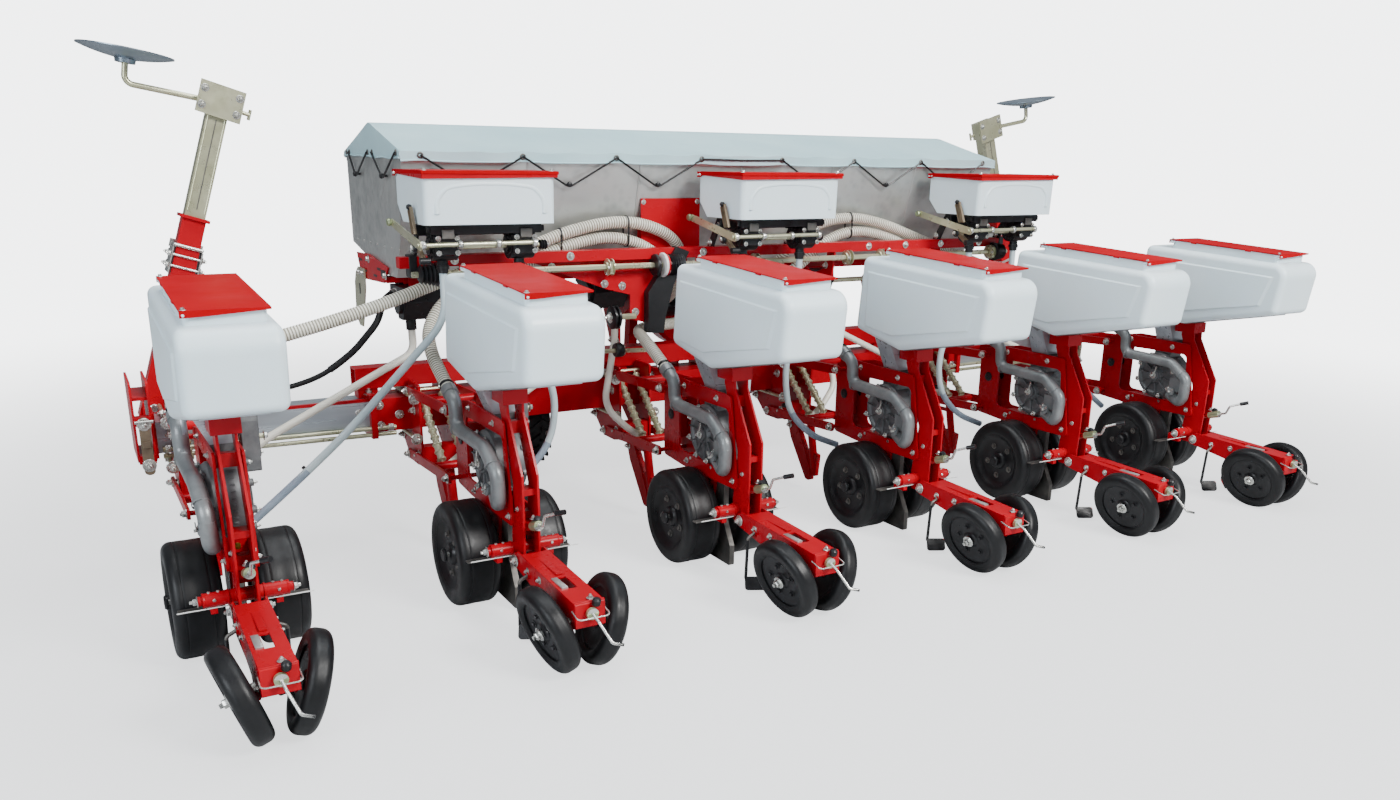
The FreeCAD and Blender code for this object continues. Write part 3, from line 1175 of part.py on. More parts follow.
def fertiliser_tubes():
    """Drop tube from each fertiliser outlet to the opener in front of its row."""
    tubes = []
    for row in row_centres():
        source = min(fertiliser_outlets(), key=lambda x: abs(x - row * FERT_REACH))
        side = 1 if source > row else -1
        top = FERT_SHAFT_Z - 108 - SEAT_GAP
        points = [(source, FERT_SHAFT_Y - 6, top), (source, FERT_SHAFT_Y - 14, top - 90),
                  (row + side * 185, 1425, 520), (row + side * 80, 1395, 412), (row, FERT_TUBE_Y + 6, 361)]
        tubes.append(drop_tube(points, FERT_TUBE))
    return tubes


# ---------------------------------------------------------------- drive wheels
def drive_wheel(x):
    """Agricultural tyre on its dished rim."""
    half = DRIVE_WIDTH / 2
    outer = [(half - 26, DRIVE_RADIUS), (half - 8, DRIVE_RADIUS - 14), (half, DRIVE_RADIUS - 45),
             (half - 10, DRIVE_RIM + 12), (half - 16, DRIVE_RIM + 12), (half - 30, DRIVE_RIM - 4),
             (24, DRIVE_RIM - 14), (24, 60), (30, 52), (half - 10, 46), (half - 10, DRIVE_AXLE)]
    inner = [(-a, r) for a, r in reversed(outer)]
    return turned(inner + outer, (x, DRIVE_Y, DRIVE_RADIUS), (1, 0, 0))


def drive_wheel_arm(side):
    """Arm from the toolbar's front with the wheel's axle and the sprocket of its chain drive."""
    x_wheel = side * DRIVE_X
    x_arm = x_wheel + side * (DRIVE_WIDTH / 2 + 24)
    x0 = min(x_arm, x_arm + side * 12)
    front = BAR_REAR + BAR_DEPTH + SEAT_GAP
    arm = [(front, BAR_BOTTOM + 10), (front, BAR_BOTTOM + BAR_HEIGHT - 6), (2000, BAR_BOTTOM + 120),
           (DRIVE_Y + 44, DRIVE_RADIUS + 45), (DRIVE_Y + 44, DRIVE_RADIUS - 45),
           (DRIVE_Y - 60, DRIVE_RADIUS - 45), (2000, BAR_BOTTOM + 10)]
    plate = plate_x(arm, x0, x0 + 12, 20)
    axle = rod((x_arm + side * 24, DRIVE_Y, DRIVE_RADIUS),
               (x_wheel - side * (DRIVE_WIDTH / 2 + 8), DRIVE_Y, DRIVE_RADIUS), DRIVE_AXLE - PIN_FIT)
    boss = rod((x_arm, DRIVE_Y, DRIVE_RADIUS), (x_arm + side * 24, DRIVE_Y, DRIVE_RADIUS), 34)
    case = plate_x([(front + 40, BAR_BOTTOM + 30), (front + 40, BAR_BOTTOM + 110),
                    (DRIVE_Y - 30, DRIVE_RADIUS + 46), (DRIVE_Y + 40, DRIVE_RADIUS + 10),
                    (DRIVE_Y, DRIVE_RADIUS - 40)],
                   x0 + 12 if side > 0 else x0 - 30, x0 + 42 if side > 0 else x0, 20)
    foot = box(x0 - 40, x0 + 52, front, front + 14, BAR_BOTTOM + 10, BAR_BOTTOM + BAR_HEIGHT - 10)
    return fuse([plate, axle, boss, case, foot])


def drive_shafts():
    """Hexagonal shaft under the upper beam, with its bearings."""
    shafts = [hex_bar((-UPPER_HALF + 20, UPPER_SHAFT_Y, UPPER_SHAFT_Z - 14),
                      (UPPER_HALF - 20, UPPER_SHAFT_Y, UPPER_SHAFT_Z - 14), SHAFT_RADIUS)]
    for x in (-UPPER_HALF + 60, -700, 0, 700, UPPER_HALF - 60):
        shafts.append(box(x - 8, x + 8, UPPER_SHAFT_Y - 24, UPPER_SHAFT_Y + 24, UPPER_SHAFT_Z - 40,
                          UPPER_BOTTOM - SEAT_GAP))
    return fuse(shafts)


# ---------------------------------------------------------------- vacuum fan and its hoses
def vacuum_fan():
    """Fan housing before the mast's foot, with its suction collector, belt guard and bracket."""
    housing = turned([(-FAN_HALF, 0), (-FAN_HALF, FAN_RADIUS - 16), (-FAN_HALF + 14, FAN_RADIUS),
                      (FAN_HALF - 14, FAN_RADIUS), (FAN_HALF, FAN_RADIUS - 16), (FAN_HALF, 64),
                      (FAN_HALF + 24, 56), (FAN_HALF + 24, 0)], (FAN_X, FAN_Y, FAN_Z), (0, 1, 0))
    outlet = box(FAN_X + 40, FAN_X + FAN_RADIUS - 2, FAN_Y - FAN_HALF + 8, FAN_Y + FAN_HALF - 8,
                 FAN_Z, FAN_Z + FAN_RADIUS + 12)
    eye = rod((FAN_X, COLLECTOR_Y, COLLECTOR_Z), (FAN_X, FAN_Y, COLLECTOR_Z), 50)
    collector = rod((FAN_X - COLLECTOR_HALF, COLLECTOR_Y, COLLECTOR_Z),
                    (FAN_X + COLLECTOR_HALF, COLLECTOR_Y, COLLECTOR_Z), COLLECTOR_RADIUS)
    spigots = []
    for start, along in hose_spigots():
        spigots.append(Part.makeCylinder(SPIGOT_RADIUS, SPIGOT_LENGTH + COLLECTOR_RADIUS - 10,
                                         start - along * (SPIGOT_LENGTH + COLLECTOR_RADIUS - 10), along))
    front = BAR_REAR + BAR_DEPTH
    low = FAN_Z - FAN_RADIUS + 40
    cheek = [(front + SEAT_GAP, BAR_BOTTOM + 6), (FAN_Y + 40, BAR_BOTTOM + 60), (FAN_Y + 40, low),
             (front + SEAT_GAP, low)]
    bracket = [plate_x(cheek, FAN_X + s * 70 - 5, FAN_X + s * 70 + 5, 12) for s in (-1, 1)]
    tie = box(FAN_X - 75, FAN_X + 75, FAN_Y - 40, FAN_Y + 30, low - 50, low - 40)
    return fuse([fuse([housing, outlet]), fuse(bracket + [tie]), fuse([eye, collector] + spigots)])


def hose_spigots():
    """Ends of the collector's six spigots and their directions, for rows 1 to 6."""
    spigots = []
    for i in range(ROWS):
        x = FAN_X + (i - (ROWS - 1) / 2.0) * SPIGOT_STEP
        along = V(0, -0.94, 0.342)
        if abs(i - (ROWS - 1) / 2.0) < 1:
            along = V(0.5 if x > 0 else -0.5, -0.82, -0.28)
        along.normalize()
        start = V(x, COLLECTOR_Y, COLLECTOR_Z) + along * (COLLECTOR_RADIUS + SPIGOT_LENGTH - 10)
        spigots.append((start, along))
    return spigots


def hose_route(number):
    """Points of a suction hose from its spigot to the mouth of its row's meter pipe."""
    start, along = hose_spigots()[number]
    row = row_centres()[number]
    side = -1 if row < 0 else 1
    mouth_x = row + PIPE_X
    mouth = V(mouth_x, HOSE_MOUTH_Y, HOSE_MOUTH_Z)
    into = V(0, 70, 36).normalize()
    lane = HOSE_LANE_Y
    if abs(row) < ROW_SPACING:
        if side < 0:
            route = [(-272, 1495, 850), (-420, 1415, 862), (-525, 1320, 862), (mouth_x, 1212, 845)]
        else:
            route = [(238, 1495, 852), (315, 1395, 864), (350, 1290, 858), (mouth_x, 1200, 838)]
    elif abs(row) < 2 * ROW_SPACING:
        route = [(side * 165, 1470, 992), (side * 245, 1395, 1035), (side * 345, 1352, 1110),
                 (side * 465, lane, 1214), (side * 632, lane, 1258), (side * 815, lane, 1226)]
        if side < 0:
            route += [(-990, lane, 1166), (-1180, lane, 1104), (-1335, 1342, 1040), (-1432, 1292, 936),
                      (-1455, 1188, 862)]
        else:
            route += [(980, lane, 1166), (1130, 1343, 1100), (1215, 1296, 1000), (1250, 1200, 885)]
    else:
        route = [(side * 262, 1455, 1062), (side * 262, 1395, 1145), (side * 322, 1352, 1238),
                 (side * 455, lane, 1300), (side * 615, lane, 1317), (side * 800, lane, 1285),
                 (side * 985, lane, 1223), (side * 1175, lane, 1159), (side * 1370, 1342, 1098),
                 (side * 1530, 1320, 1046), (side * 1700, 1300, 1000), (side * 1860, 1296, 960)]
        if side < 0:
            route += [(-2060, 1285, 918), (-2240, 1245, 870), (-2325, 1165, 825)]
        else:
            route += [(2000, 1282, 905), (2110, 1215, 845)]
    last_run = 95 if number == 0 else 110
    ends = [mouth + into * last_run, mouth + into * SEAT_GAP]
    return [start + along * SEAT_GAP, start + along * 90] + [V(*p) for p in route] + ends


def hose_radii(points):
    """Arc radius at each inner point: 0.45 of the shorter run beside it over the half turn's tangent."""
    radii = []
    for before, here, after in zip(points, points[1:], points[2:]):
        back = before - here
        ahead = after - here
        half_turn = (math.pi - back.getAngle(ahead)) / 2.0
        radii.append(0.45 * min(back.Length, ahead.Length) / math.tan(half_turn))
    return radii


def suction_hose(number):
    """Corrugated hose as a smooth round bar, with its figures printed."""
    points = hose_route(number)
    radii = hose_radii(points)
    wire = arc_path([tuple(p) for p in points], radii)
    solid = tube_along(wire, points[0], points[1] - points[0], HOSE_RADIUS)
    share = solid.Volume / (math.pi * HOSE_RADIUS ** 2 * wire.Length)
    print("hose %d: length %.0f, radii %s, volume over section x length %.4f"
          % (number + 1, wire.Length, " ".join("%.0f" % r for r in radii), share))
    return solid


# ---------------------------------------------------------------- row markers
def lean(shape, side):
    """Place a left-hand piece drawn along the arm's line, or its mirror image on the right."""
    turned_shape = shape.copy()
    turned_shape.rotate(V(0, 0, 0), Y_AXIS, MARKER_LEAN)
    turned_shape.translate(V(-MARKER_X, MARKER_Y, MARKER_Z))
    return turned_shape if side < 0 else mirror_x(turned_shape)


def spindle():
    """Middle of the marker disc and the direction of its spindle, in the arm's own frame."""
    tilt = math.radians(SPINDLE_TILT)
    return V(-DISC_OUT, -10, MARKER_LENGTH + DISC_RISE), V(math.sin(tilt), 0, math.cos(tilt))


def marker_arm(side):
    """Arm drawn upright with its pivot at the origin, the disc to the left."""
    out = MARKER_SOCKET / 2
    bore = out - MARKER_WALL
    socket = box(-out, out, -out, out, -MARKER_FOOT, MARKER_SLEEVE)
    socket = socket.cut(box(-bore, bore, -bore, bore, 60, MARKER_SLEEVE + 1))
    collar = box(-out - 12, out + 12, -out - 12, out + 12, MARKER_SLEEVE - 12, MARKER_SLEEVE)
    wall = bore - MARKER_WALL
    inner = box(-bore, bore, -bore, bore, 500, MARKER_LENGTH - 30)
    inner = inner.cut(box(-wall, wall, -wall, wall, 490, MARKER_LENGTH - 60))
    plates = []
    for z in (MARKER_SLEEVE - 320, MARKER_SLEEVE - 120):
        bow = rod((-out - 9, -out - 5, z), (out + 9, -out - 5, z), 7)
        ends = [rod((s * (out + 6), -out - 9, z), (s * (out + 6), out + 22, z), 7) for s in (-1, 1)]
        plates += [bow, box(-out - 18, out + 18, out - 1, out + 8, z - 16, z + 16)] + ends
    head = box(-80, 80, -60, -48, MARKER_LENGTH - 60, MARKER_LENGTH + 60)
    block = box(-60, 60, -48, 30, MARKER_LENGTH - 45, MARKER_LENGTH + 45)
    centre, along = spindle()
    bend = centre - along * 84
    stem = bent_rod([(20, -10, MARKER_LENGTH), tuple(bend), tuple(centre + along * 12)], STEM_RADIUS, 30)
    arm = fuse([socket, collar, inner, head, block, stem] + plates)
    pivot = rod((0, -out - 1, 0), (0, out + 1, 0), MARKER_PIN + PIN_FIT)
    return lean(arm.cut(pivot), side)


def marker_disc(side):
    """Concave disc with its hub, turning on the end of the stem."""
    steps = 8
    radii = [DISC_RADIUS * i / steps for i in range(3, steps + 1)]
    lower = [(DISC_DISH * (r / DISC_RADIUS) ** 2, r) for r in radii]
    upper = [(a + 4, r) for a, r in reversed(lower)]
    bore = STEM_RADIUS + PIN_FIT
    profile = [(-14, bore), (-14, 34), (0, 36)] + lower + upper + [(8, 34), (8, bore)]
    centre, along = spindle()
    return lean(turned(profile, tuple(centre), tuple(along)), side)


# ---------------------------------------------------------------- all sub-parts
def main():
    os.makedirs("parts", exist_ok=True)
    centres = row_centres()
    for number, x in enumerate(centres, 1):
        save("gauge_wheels_%d" % number, gauge_wheel_pair(x))
        save("press_wheel_%d_left" % number, [press_wheel(x, -1)])
        save("press_wheel_%d_right" % number, [press_wheel(x, 1)])
        save("seed_lid_%d" % number, [seed_lid(x)])
        save("suction_hose_%d" % number, [suction_hose(number - 1)])
    half = len(centres) // 2
    save("seed_hoppers_left", [seed_hopper(x) for x in centres[:half]])
    save("seed_hoppers_right", [seed_hopper(x) for x in centres[half:]])
    save("row_frames", on_each_row([row_frame()]))
    save("seed_meters", on_each_row(seed_meter()))
    save("press_arms", on_each_row([press_arm()]))
    save("furrow_openers", on_each_row([furrow_opener()]))
    save("row_links", on_each_row([row_links()]))
    save("toolbar", [toolbar()])
    save("toolbar_extensions", [toolbar_extension(-1), toolbar_extension(1)])
    save("toolbar_ends", toolbar_end(-1) + toolbar_end(1))
    save("hopper_frame", [hopper_frame()])
    save("fertiliser_hopper", [fertiliser_hopper()])
    save("tarp_cover", [tarp_cover()])
    save("fertiliser_openers", on_each_row([fertiliser_opener()]))
    save("granule_hoppers", [granule_hopper(x) for x in granule_centres()])
    for number, x in enumerate(granule_centres(), 1):
        save("granule_lid_%d" % number, [granule_lid(x)])
    save("granule_meters", [granule_meters(x) for x in granule_centres()])
    save("drop_tubes", granule_tubes() + fertiliser_tubes())
    save("drive_shafts", [drive_shafts()])
    save("fertiliser_meters", fertiliser_meters())
    save("drive_wheel_left", [drive_wheel(-DRIVE_X)])
    save("drive_wheel_right", [drive_wheel(DRIVE_X)])
    save("drive_wheel_arms", [drive_wheel_arm(-1), drive_wheel_arm(1)])
    save("vacuum_fan", [vacuum_fan()])
    for side, name in ((-1, "left"), (1, "right")):
        save("marker_arm_" + name, [marker_arm(side)])
        save("marker_disc_" + name, [marker_disc(side)])


main()
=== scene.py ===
import bpy, json
from math import cos, exp, hypot, pi, radians, sin
from mathutils import Matrix, Vector


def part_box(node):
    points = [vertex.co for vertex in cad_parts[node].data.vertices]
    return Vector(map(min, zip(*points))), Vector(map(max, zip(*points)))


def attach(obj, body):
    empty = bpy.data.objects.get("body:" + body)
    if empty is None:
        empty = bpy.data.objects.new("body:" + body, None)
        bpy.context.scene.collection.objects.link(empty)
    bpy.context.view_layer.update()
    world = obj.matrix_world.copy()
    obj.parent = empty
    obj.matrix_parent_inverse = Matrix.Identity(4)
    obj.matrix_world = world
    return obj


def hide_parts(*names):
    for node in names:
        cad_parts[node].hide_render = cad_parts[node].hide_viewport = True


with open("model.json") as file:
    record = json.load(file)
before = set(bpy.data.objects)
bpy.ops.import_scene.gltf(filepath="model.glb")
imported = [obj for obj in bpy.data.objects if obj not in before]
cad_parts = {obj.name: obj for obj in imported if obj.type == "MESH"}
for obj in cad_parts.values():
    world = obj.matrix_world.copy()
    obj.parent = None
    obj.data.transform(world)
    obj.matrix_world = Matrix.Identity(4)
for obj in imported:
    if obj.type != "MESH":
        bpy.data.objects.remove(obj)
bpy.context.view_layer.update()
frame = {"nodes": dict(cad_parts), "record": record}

scene = bpy.context.scene


# ---------------------------------------------------------------- places
# in millimetres: across from a row's middle or the machine's, forward from the cranks at the rear, and up
GAUGE_X, GAUGE_Y, GAUGE_Z = 127.0, 820.0, 190.0      # middle of a gauge wheel
PRESS_HUB = (92, 135, 144.8)                         # middle of a press wheel
CAMBER, TOE = radians(18), radians(5.5)              # how a press wheel leans and turns out
METER_Y, METER_Z = 765, 530                          # middle of a seed meter
SHAFT_Y, SHAFT_Z = 1214, 1144                        # long hexagonal shaft
GRANULE_X, GRANULE_Y, GRANULE_Z = (-1275, 0, 1275), 1082, 1252       # granule hoppers and their shafts
MARKER_X, MARKER_Y, MARKER_Z = 2360.0, 1950.0, 600.0                 # pivot of a marker
MARKER_LEAN = radians(17.6)                          # from upright, outwards
LEFT, RIGHT, BACK, UP = (-1, 0, 0), (1, 0, 0), (0, -1, 0), (0, 0, 1)
MM = 0.001


def middle(node):
    lo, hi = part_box(node)
    return (Vector(lo) + Vector(hi)) / 2


SHIFT = middle("gauge_wheels_1").y - GAUGE_Y / 1000
ROWS = [middle("gauge_wheels_%d" % n).x for n in range(1, 7)]


def at(x, y, z):
    """Point given from the middle of the machine and from the cranks at its rear, in metres."""
    return Vector((x, y + SHIFT, z))


def place(x=0.0, side=1):
    """Matrix from millimetres about an upright plane at x, mirrored for side -1, to the frame."""
    return Matrix.Translation(at(x, 0, 0)) @ Matrix.Diagonal((side * MM, MM, MM, 1))


# ---------------------------------------------------------------- camera
def set_camera():
    """Seen from behind the machine's left end, a little from above."""
    yaw, pitch, roll = radians(30.95), radians(-16.5), radians(0.83)
    look = Vector((sin(yaw) * cos(pitch), cos(yaw) * cos(pitch), sin(pitch)))
    data = bpy.data.cameras.new("camera")
    cam = bpy.data.objects.new("camera", data)
    scene.collection.objects.link(cam)
    right = look.cross(Vector((0, 0, 1))).normalized()
    up = right.cross(look)
    across = right * cos(roll) + up * sin(roll)
    above = up * cos(roll) - right * sin(roll)
    turned = Matrix((across, above, -look)).transposed().to_4x4()
    cam.matrix_world = Matrix.Translation(at(-2.612, -2.806, 1.566)) @ turned
    data.sensor_width, data.lens = 36.0, 27.866571
    data.shift_x, data.shift_y = -0.0089071429, 0.0574285714
    data.clip_end = 200.0
    scene.camera = cam


# ---------------------------------------------------------------- mesh building
def axes_of(axis):
    along = Vector(axis).normalized()
    first = along.orthogonal().normalized()
    return first, along.cross(first), along


def turns(count, start=0.0):
    """Angles spread evenly round a circle, the first one `start` steps on."""
    return [2 * pi * (k + start) / count for k in range(count)]


def ring_of(centre, axis, radius, count, start=0.0):
    """Places spread evenly round an axis."""
    first, second, _ = axes_of(axis)
    return [Vector(centre) + (first * cos(a) + second * sin(a)) * radius
            for a in turns(count, start)]


def collar(inner, outer, height):
    """Outline of a plain ring, to be turned."""
    return [(inner, 0), (outer, 0), (outer, height), (inner, height)]


def eased(points, radius):
    """The same line with each corner turned through a short curve."""
    points = [Vector(p) for p in points]
    out = [points[0]]
    for before, corner, after in zip(points, points[1:], points[2:]):
        cut = min(radius, (corner - before).length * 0.45, (after - corner).length * 0.45)
        start = corner + (before - corner).normalized() * cut
        end = corner + (after - corner).normalized() * cut
        for step in range(6):
            t = step / 5
            out.append(start * (1 - t) ** 2 + corner * (2 * t * (1 - t)) + end * t ** 2)
    return out + [points[-1]]


class Shape:
    """Faces collected for one piece, in the units and place of its matrix."""

    def __init__(self, matrix, store=None):
        self.matrix, self.mirrored = matrix, matrix.determinant() < 0
        self.points, self.faces = store or ([], [])

    def put(self, points, faces):
        base, way = len(self.points), -1 if self.mirrored else 1
        self.points += [self.matrix @ Vector(p) for p in points]
        self.faces += [[base + i for i in face][::way] for face in faces]

    def skin(self, rings):
        """Closed skin over rings of points, alike in number."""
        sides = len(rings[0])
        last = (len(rings) - 1) * sides
        faces = [(low + k, low + (k + 1) % sides, low + sides + (k + 1) % sides, low + sides + k)
                 for low in range(0, last, sides) for k in range(sides)]
        faces += [tuple(range(sides))[::-1], tuple(range(last, last + sides))]
        self.put([p for ring in rings for p in ring], faces)

    def lathe(self, profile, centre, axis, sides=24):
        """Turned piece; the profile is (radius, distance along the axis)."""
        first, second, along = axes_of(axis)
        centre = Vector(centre)
        points, faces, rings = [], [], []
        for radius, distance in profile:
            count = sides if radius > 1e-6 else 1
            rings.append(range(len(points), len(points) + count))
            points += [centre + along * distance + (first * cos(a) + second * sin(a)) * radius
                       for a in turns(sides)[:count]]
        for low, high in zip(rings, rings[1:]):
            for k in range(sides):
                m = (k + 1) % sides
                if len(low) > 1 and len(high) > 1:
                    faces.append((low[k], low[m], high[m], high[k]))
                elif len(high) > 1:
                    faces.append((low[0], high[m], high[k]))
                elif len(low) > 1:
                    faces.append((low[k], low[m], high[0]))
        self.put(points, faces)

    def knob(self, outline, centre, axis, sides=24):
        """Turned solid, closed at both ends down to its axis."""
        self.lathe([(0, outline[0][1]), *outline, (0, outline[-1][1])], centre, axis, sides)

    def hoop(self, outline, centre, axis, sides=24):
        """Turned ring, whose outline closes on itself."""
        self.lathe([*outline, outline[0]], centre, axis, sides)

    def rod(self, start, end, radius, sides=14, edge=0.8):
        start, end = Vector(start), Vector(end)
        length = (end - start).length
        edge = min(edge, radius * 0.4, length * 0.3)
        self.knob([(radius - edge, 0), (radius, edge), (radius, length - edge), (radius - edge, length)],
                  start, end - start, sides)

    def tube(self, points, radius, sides=10):
        """Solid along a line; the radius is a number or is asked for at each ring."""
        points = [Vector(p) for p in points]
        rings, first = [], None
        for i, point in enumerate(points):
            ahead = (points[min(i + 1, len(points) - 1)] - points[max(i - 1, 0)]).normalized()
            first = ahead.orthogonal() if first is None else first - ahead * first.dot(ahead)
            first.normalize()
            second = ahead.cross(first)
            wide = radius(i) if callable(radius) else radius
            rings.append([point + (first * cos(a) + second * sin(a)) * wide for a in turns(sides)])
        self.skin(rings)

    def block(self, lo, hi, cut=2.0):
        """Box with its edges cut off."""
        def ring(z, inset):
            x0, y0, x1, y1 = lo[0] + inset, lo[1] + inset, hi[0] - inset, hi[1] - inset
            return [(x0 + cut, y0, z), (x1 - cut, y0, z), (x1, y0 + cut, z), (x1, y1 - cut, z),
                    (x1 - cut, y1, z), (x0 + cut, y1, z), (x0, y1 - cut, z), (x0, y0 + cut, z)]
        cut = min([cut] + [(b - a) * 0.24 for a, b in zip(lo, hi)])
        self.skin([ring(lo[2], cut), ring(lo[2] + cut, 0), ring(hi[2] - cut, 0), ring(hi[2], cut)])

    def beside(self, side, lo, hi, cut):
        """Block given for the right side and drawn on side -1 or 1."""
        near_x, far_x = sorted((side * lo[0], side * hi[0]))
        self.block((near_x, *lo[1:]), (far_x, *hi[1:]), cut)

    def cube(self, spot, half, cut=1.0):
        """Block about its middle."""
        self.block(Vector(spot) - Vector(half), Vector(spot) + Vector(half), cut)

    def plate(self, outline, origin, across, thick):
        """Flat upright piece; the outline is (along `across`, up), and it thickens along across x up."""
        across, up, origin = Vector(across), Vector((0, 0, 1)), Vector(origin)
        area = sum(a[0] * b[1] - b[0] * a[1] for a, b in zip(outline, outline[1:] + outline[:1]))
        outline = outline if area > 0 else outline[::-1]
        out = across.cross(up).normalized()
        ring = [origin + across * a + up * b for a, b in outline]
        self.skin([ring, [p + out * thick for p in ring]])

    def flank(self, outline, x, thick, side=1):
        """Plate that faces sideways, from x outwards on side -1 or 1; the outline is (y, z)."""
        self.plate(outline, (side * x - (0 if side > 0 else thick), 0, 0), (0, 1, 0), thick)

    def front(self, outline, y, thick):
        """Plate that faces the rear, from y backwards; the outline is (x, z)."""
        self.plate(outline, (0, y, 0), (1, 0, 0), thick)

    def bolt(self, centre, axis, size=13.0, tall=None, washer=True, stud=0.0):
        """Hexagon head or nut, `size` across its flats, on its washer."""
        base = 0.0
        if washer:
            base = size * 0.14
            self.knob([(size * 0.92, 0), (size, base * 0.5), (size * 0.92, base)], centre, axis, 14)
        tall = size * 0.6 if tall is None else tall
        corner = size * 0.577
        top = base + tall
        self.knob([(corner, base), (corner, top - tall * 0.2), (corner * 0.84, top)], centre, axis, 6)
        if stud:
            self.knob([(size * 0.3, top), (size * 0.3, top + stud - 1), (size * 0.22, top + stud)],
                      centre, axis, 8)

    def bolts(self, spots, axis, size=13.0, **how):
        for spot in spots:
            self.bolt(spot, axis, size, **how)


def piece(name, shape, finish, body="machine", sharp=38.0):
    mesh = bpy.data.meshes.new(name)
    mesh.from_pydata(shape.points, [], shape.faces)
    mesh.shade_smooth()
    mesh.set_sharp_from_angle(angle=radians(sharp))
    mesh.materials.append(MATS[finish])
    obj = bpy.data.objects.new(name, mesh)
    scene.collection.objects.link(obj)
    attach(obj, body)
    FINISHES[finish][0]
    return obj


class Kit:
    """Shapes that ride on one body, one to each finish."""

    def __init__(self, name, body="machine", matrix=None):
        self.name, self.body, self.stores = name, body, {}
        self.matrix = place() if matrix is None else matrix

    def __getitem__(self, finish):
        return Shape(self.matrix, self.stores.setdefault(finish, ([], [])))

    def done(self):
        for finish, store in self.stores.items():
            piece("%s_%s" % (self.name, finish), Shape(self.matrix, store), finish, self.body)


# ---------------------------------------------------------------- hoses
HOSE_OUTER, HOSE_INNER, HOSE_PITCH, HOSE_SIDES = 0.0250, 0.0224, 0.0112, 12      # metres
LANE = 1346.0                    # depth at which the hoses run between the beam and the bin
MOUTH_WAY = Vector((0, 70, 36)).normalized()         # way out of a meter's pipe
# ways of the suction hoses in millimetres, outwards from the middle
HIGH = [(262, 1455, 1062), (262, 1395, 1145), (322, 1352, 1238), (455, LANE, 1300), (615, LANE, 1317),
        (800, LANE, 1285), (985, LANE, 1223), (1175, LANE, 1159), (1370, 1342, 1098), (1530, 1320, 1046),
        (1700, 1300, 1000), (1860, 1296, 960)]
LOW = [(165, 1470, 992), (245, 1395, 1035), (345, 1352, 1110), (465, LANE, 1214), (632, LANE, 1258),
       (815, LANE, 1226)]
ROUTES = [
    HIGH + [(2060, 1285, 918), (2240, 1245, 870), (2325, 1165, 825)],
    LOW + [(990, LANE, 1166), (1180, LANE, 1104), (1335, 1342, 1040), (1432, 1292, 936), (1455, 1188, 862)],
    [(272, 1495, 850), (420, 1415, 862), (525, 1320, 862)],
    [(238, 1495, 852), (315, 1395, 864), (350, 1290, 858)],
    LOW + [(980, LANE, 1166), (1130, 1343, 1100), (1215, 1296, 1000), (1250, 1200, 885)],
    HIGH + [(2000, 1282, 905), (2110, 1215, 845)],
]
OVER_MOUTH = {2: (1212, 845), 3: (1200, 838)}        # last depth and height of the two short hoses
# thin black hose to each marker: its way from the bin's end to the sliding tube
LEAD_ROUTE = [(1474, 1562, 1046), (1520, 1530, 1040), (1556, 1462, 1000), (1584, 1424, 949),
              (1630, 1420, 900), (1678, 1420, 848), (1745, 1424, 798), (1815, 1430, 755), (1915, 1448, 722),
              (1990, 1510, 702), (2040, 1600, 690), (2072, 1672, 664), (2080, 1690, 604)]
LEAD_RADIUS, LEAD_PITCH, SLEEVE_WALL = 0.010, 0.012, 0.003           # metres


def hose_route(number):
    """Middle line of a suction hose from its spigot on the collector to its row's meter pipe, in mm."""
    x = (number - 2.5) * 88.0
    along = Vector((0, -0.94, 0.342))
    if number in OVER_MOUTH:
        along = Vector((0.5 if x > 0 else -0.5, -0.82, -0.28))
    along.normalize()
    start = Vector((x, 1752, 900)) + along * 112
    mouth = Vector((ROWS[number] * 1000 - 98, 1016, 752))
    route = [(-a if number < 3 else a, y, z) for a, y, z in ROUTES[number]]
    if number in OVER_MOUTH:
        route.append((mouth.x, *OVER_MOUTH[number]))
    last_run = 95 if number == 0 else 110
    return ([start + along * 0.3, start + along * 90] + route
            + [mouth + MOUTH_WAY * last_run, mouth + MOUTH_WAY * 0.3])


def smooth_line(name, points):
    """Points of the NURBS spline through a route, as Blender evaluates it."""
    curve = bpy.data.curves.new(name, "CURVE")
    curve.dimensions = "3D"
    spline = curve.splines.new("NURBS")
    spline.points.add(len(points) - 1)
    for knot, point in zip(spline.points, points):
        knot.co = (*point, 1)
    spline.order_u = 3
    spline.use_endpoint_u = True
    spline.resolution_u = 24
    holder = bpy.data.objects.new(name, curve)
    scene.collection.objects.link(holder)
    bpy.context.view_layer.update()
    mesh = bpy.data.meshes.new_from_object(holder.evaluated_get(bpy.context.evaluated_depsgraph_get()))
    line = [v.co.copy() for v in mesh.vertices]
    bpy.data.objects.remove(holder)
    return line


def length_of(line):
    return sum((b - a).length for a, b in zip(line, line[1:]))


def along_line(line, step):
    """Evenly spaced points on a line, ends included."""
    total = length_of(line)
    count = max(2, round(total / step))
    out, walked, i = [line[0]], 0.0, 0
    for k in range(1, count):
        target = total * k / count
        while walked + (line[i + 1] - line[i]).length < target:
            walked += (line[i + 1] - line[i]).length
            i += 1
        t = (target - walked) / (line[i + 1] - line[i]).length
        out.append(line[i].lerp(line[i + 1], t))
    return out + [line[-1]]


def rib(i):
    """Radius of a ribbed hose at its ring i: a groove and three steps of a ridge."""
    return (HOSE_INNER, HOSE_OUTER - 0.0004, HOSE_OUTER, HOSE_OUTER - 0.0004)[i % 4]


def hose_piece(name, line, radius, sides, finish):
    shape = Shape(Matrix.Identity(4))
    shape.tube(line, radius, sides)
    return piece(name, shape, finish, sharp=80)


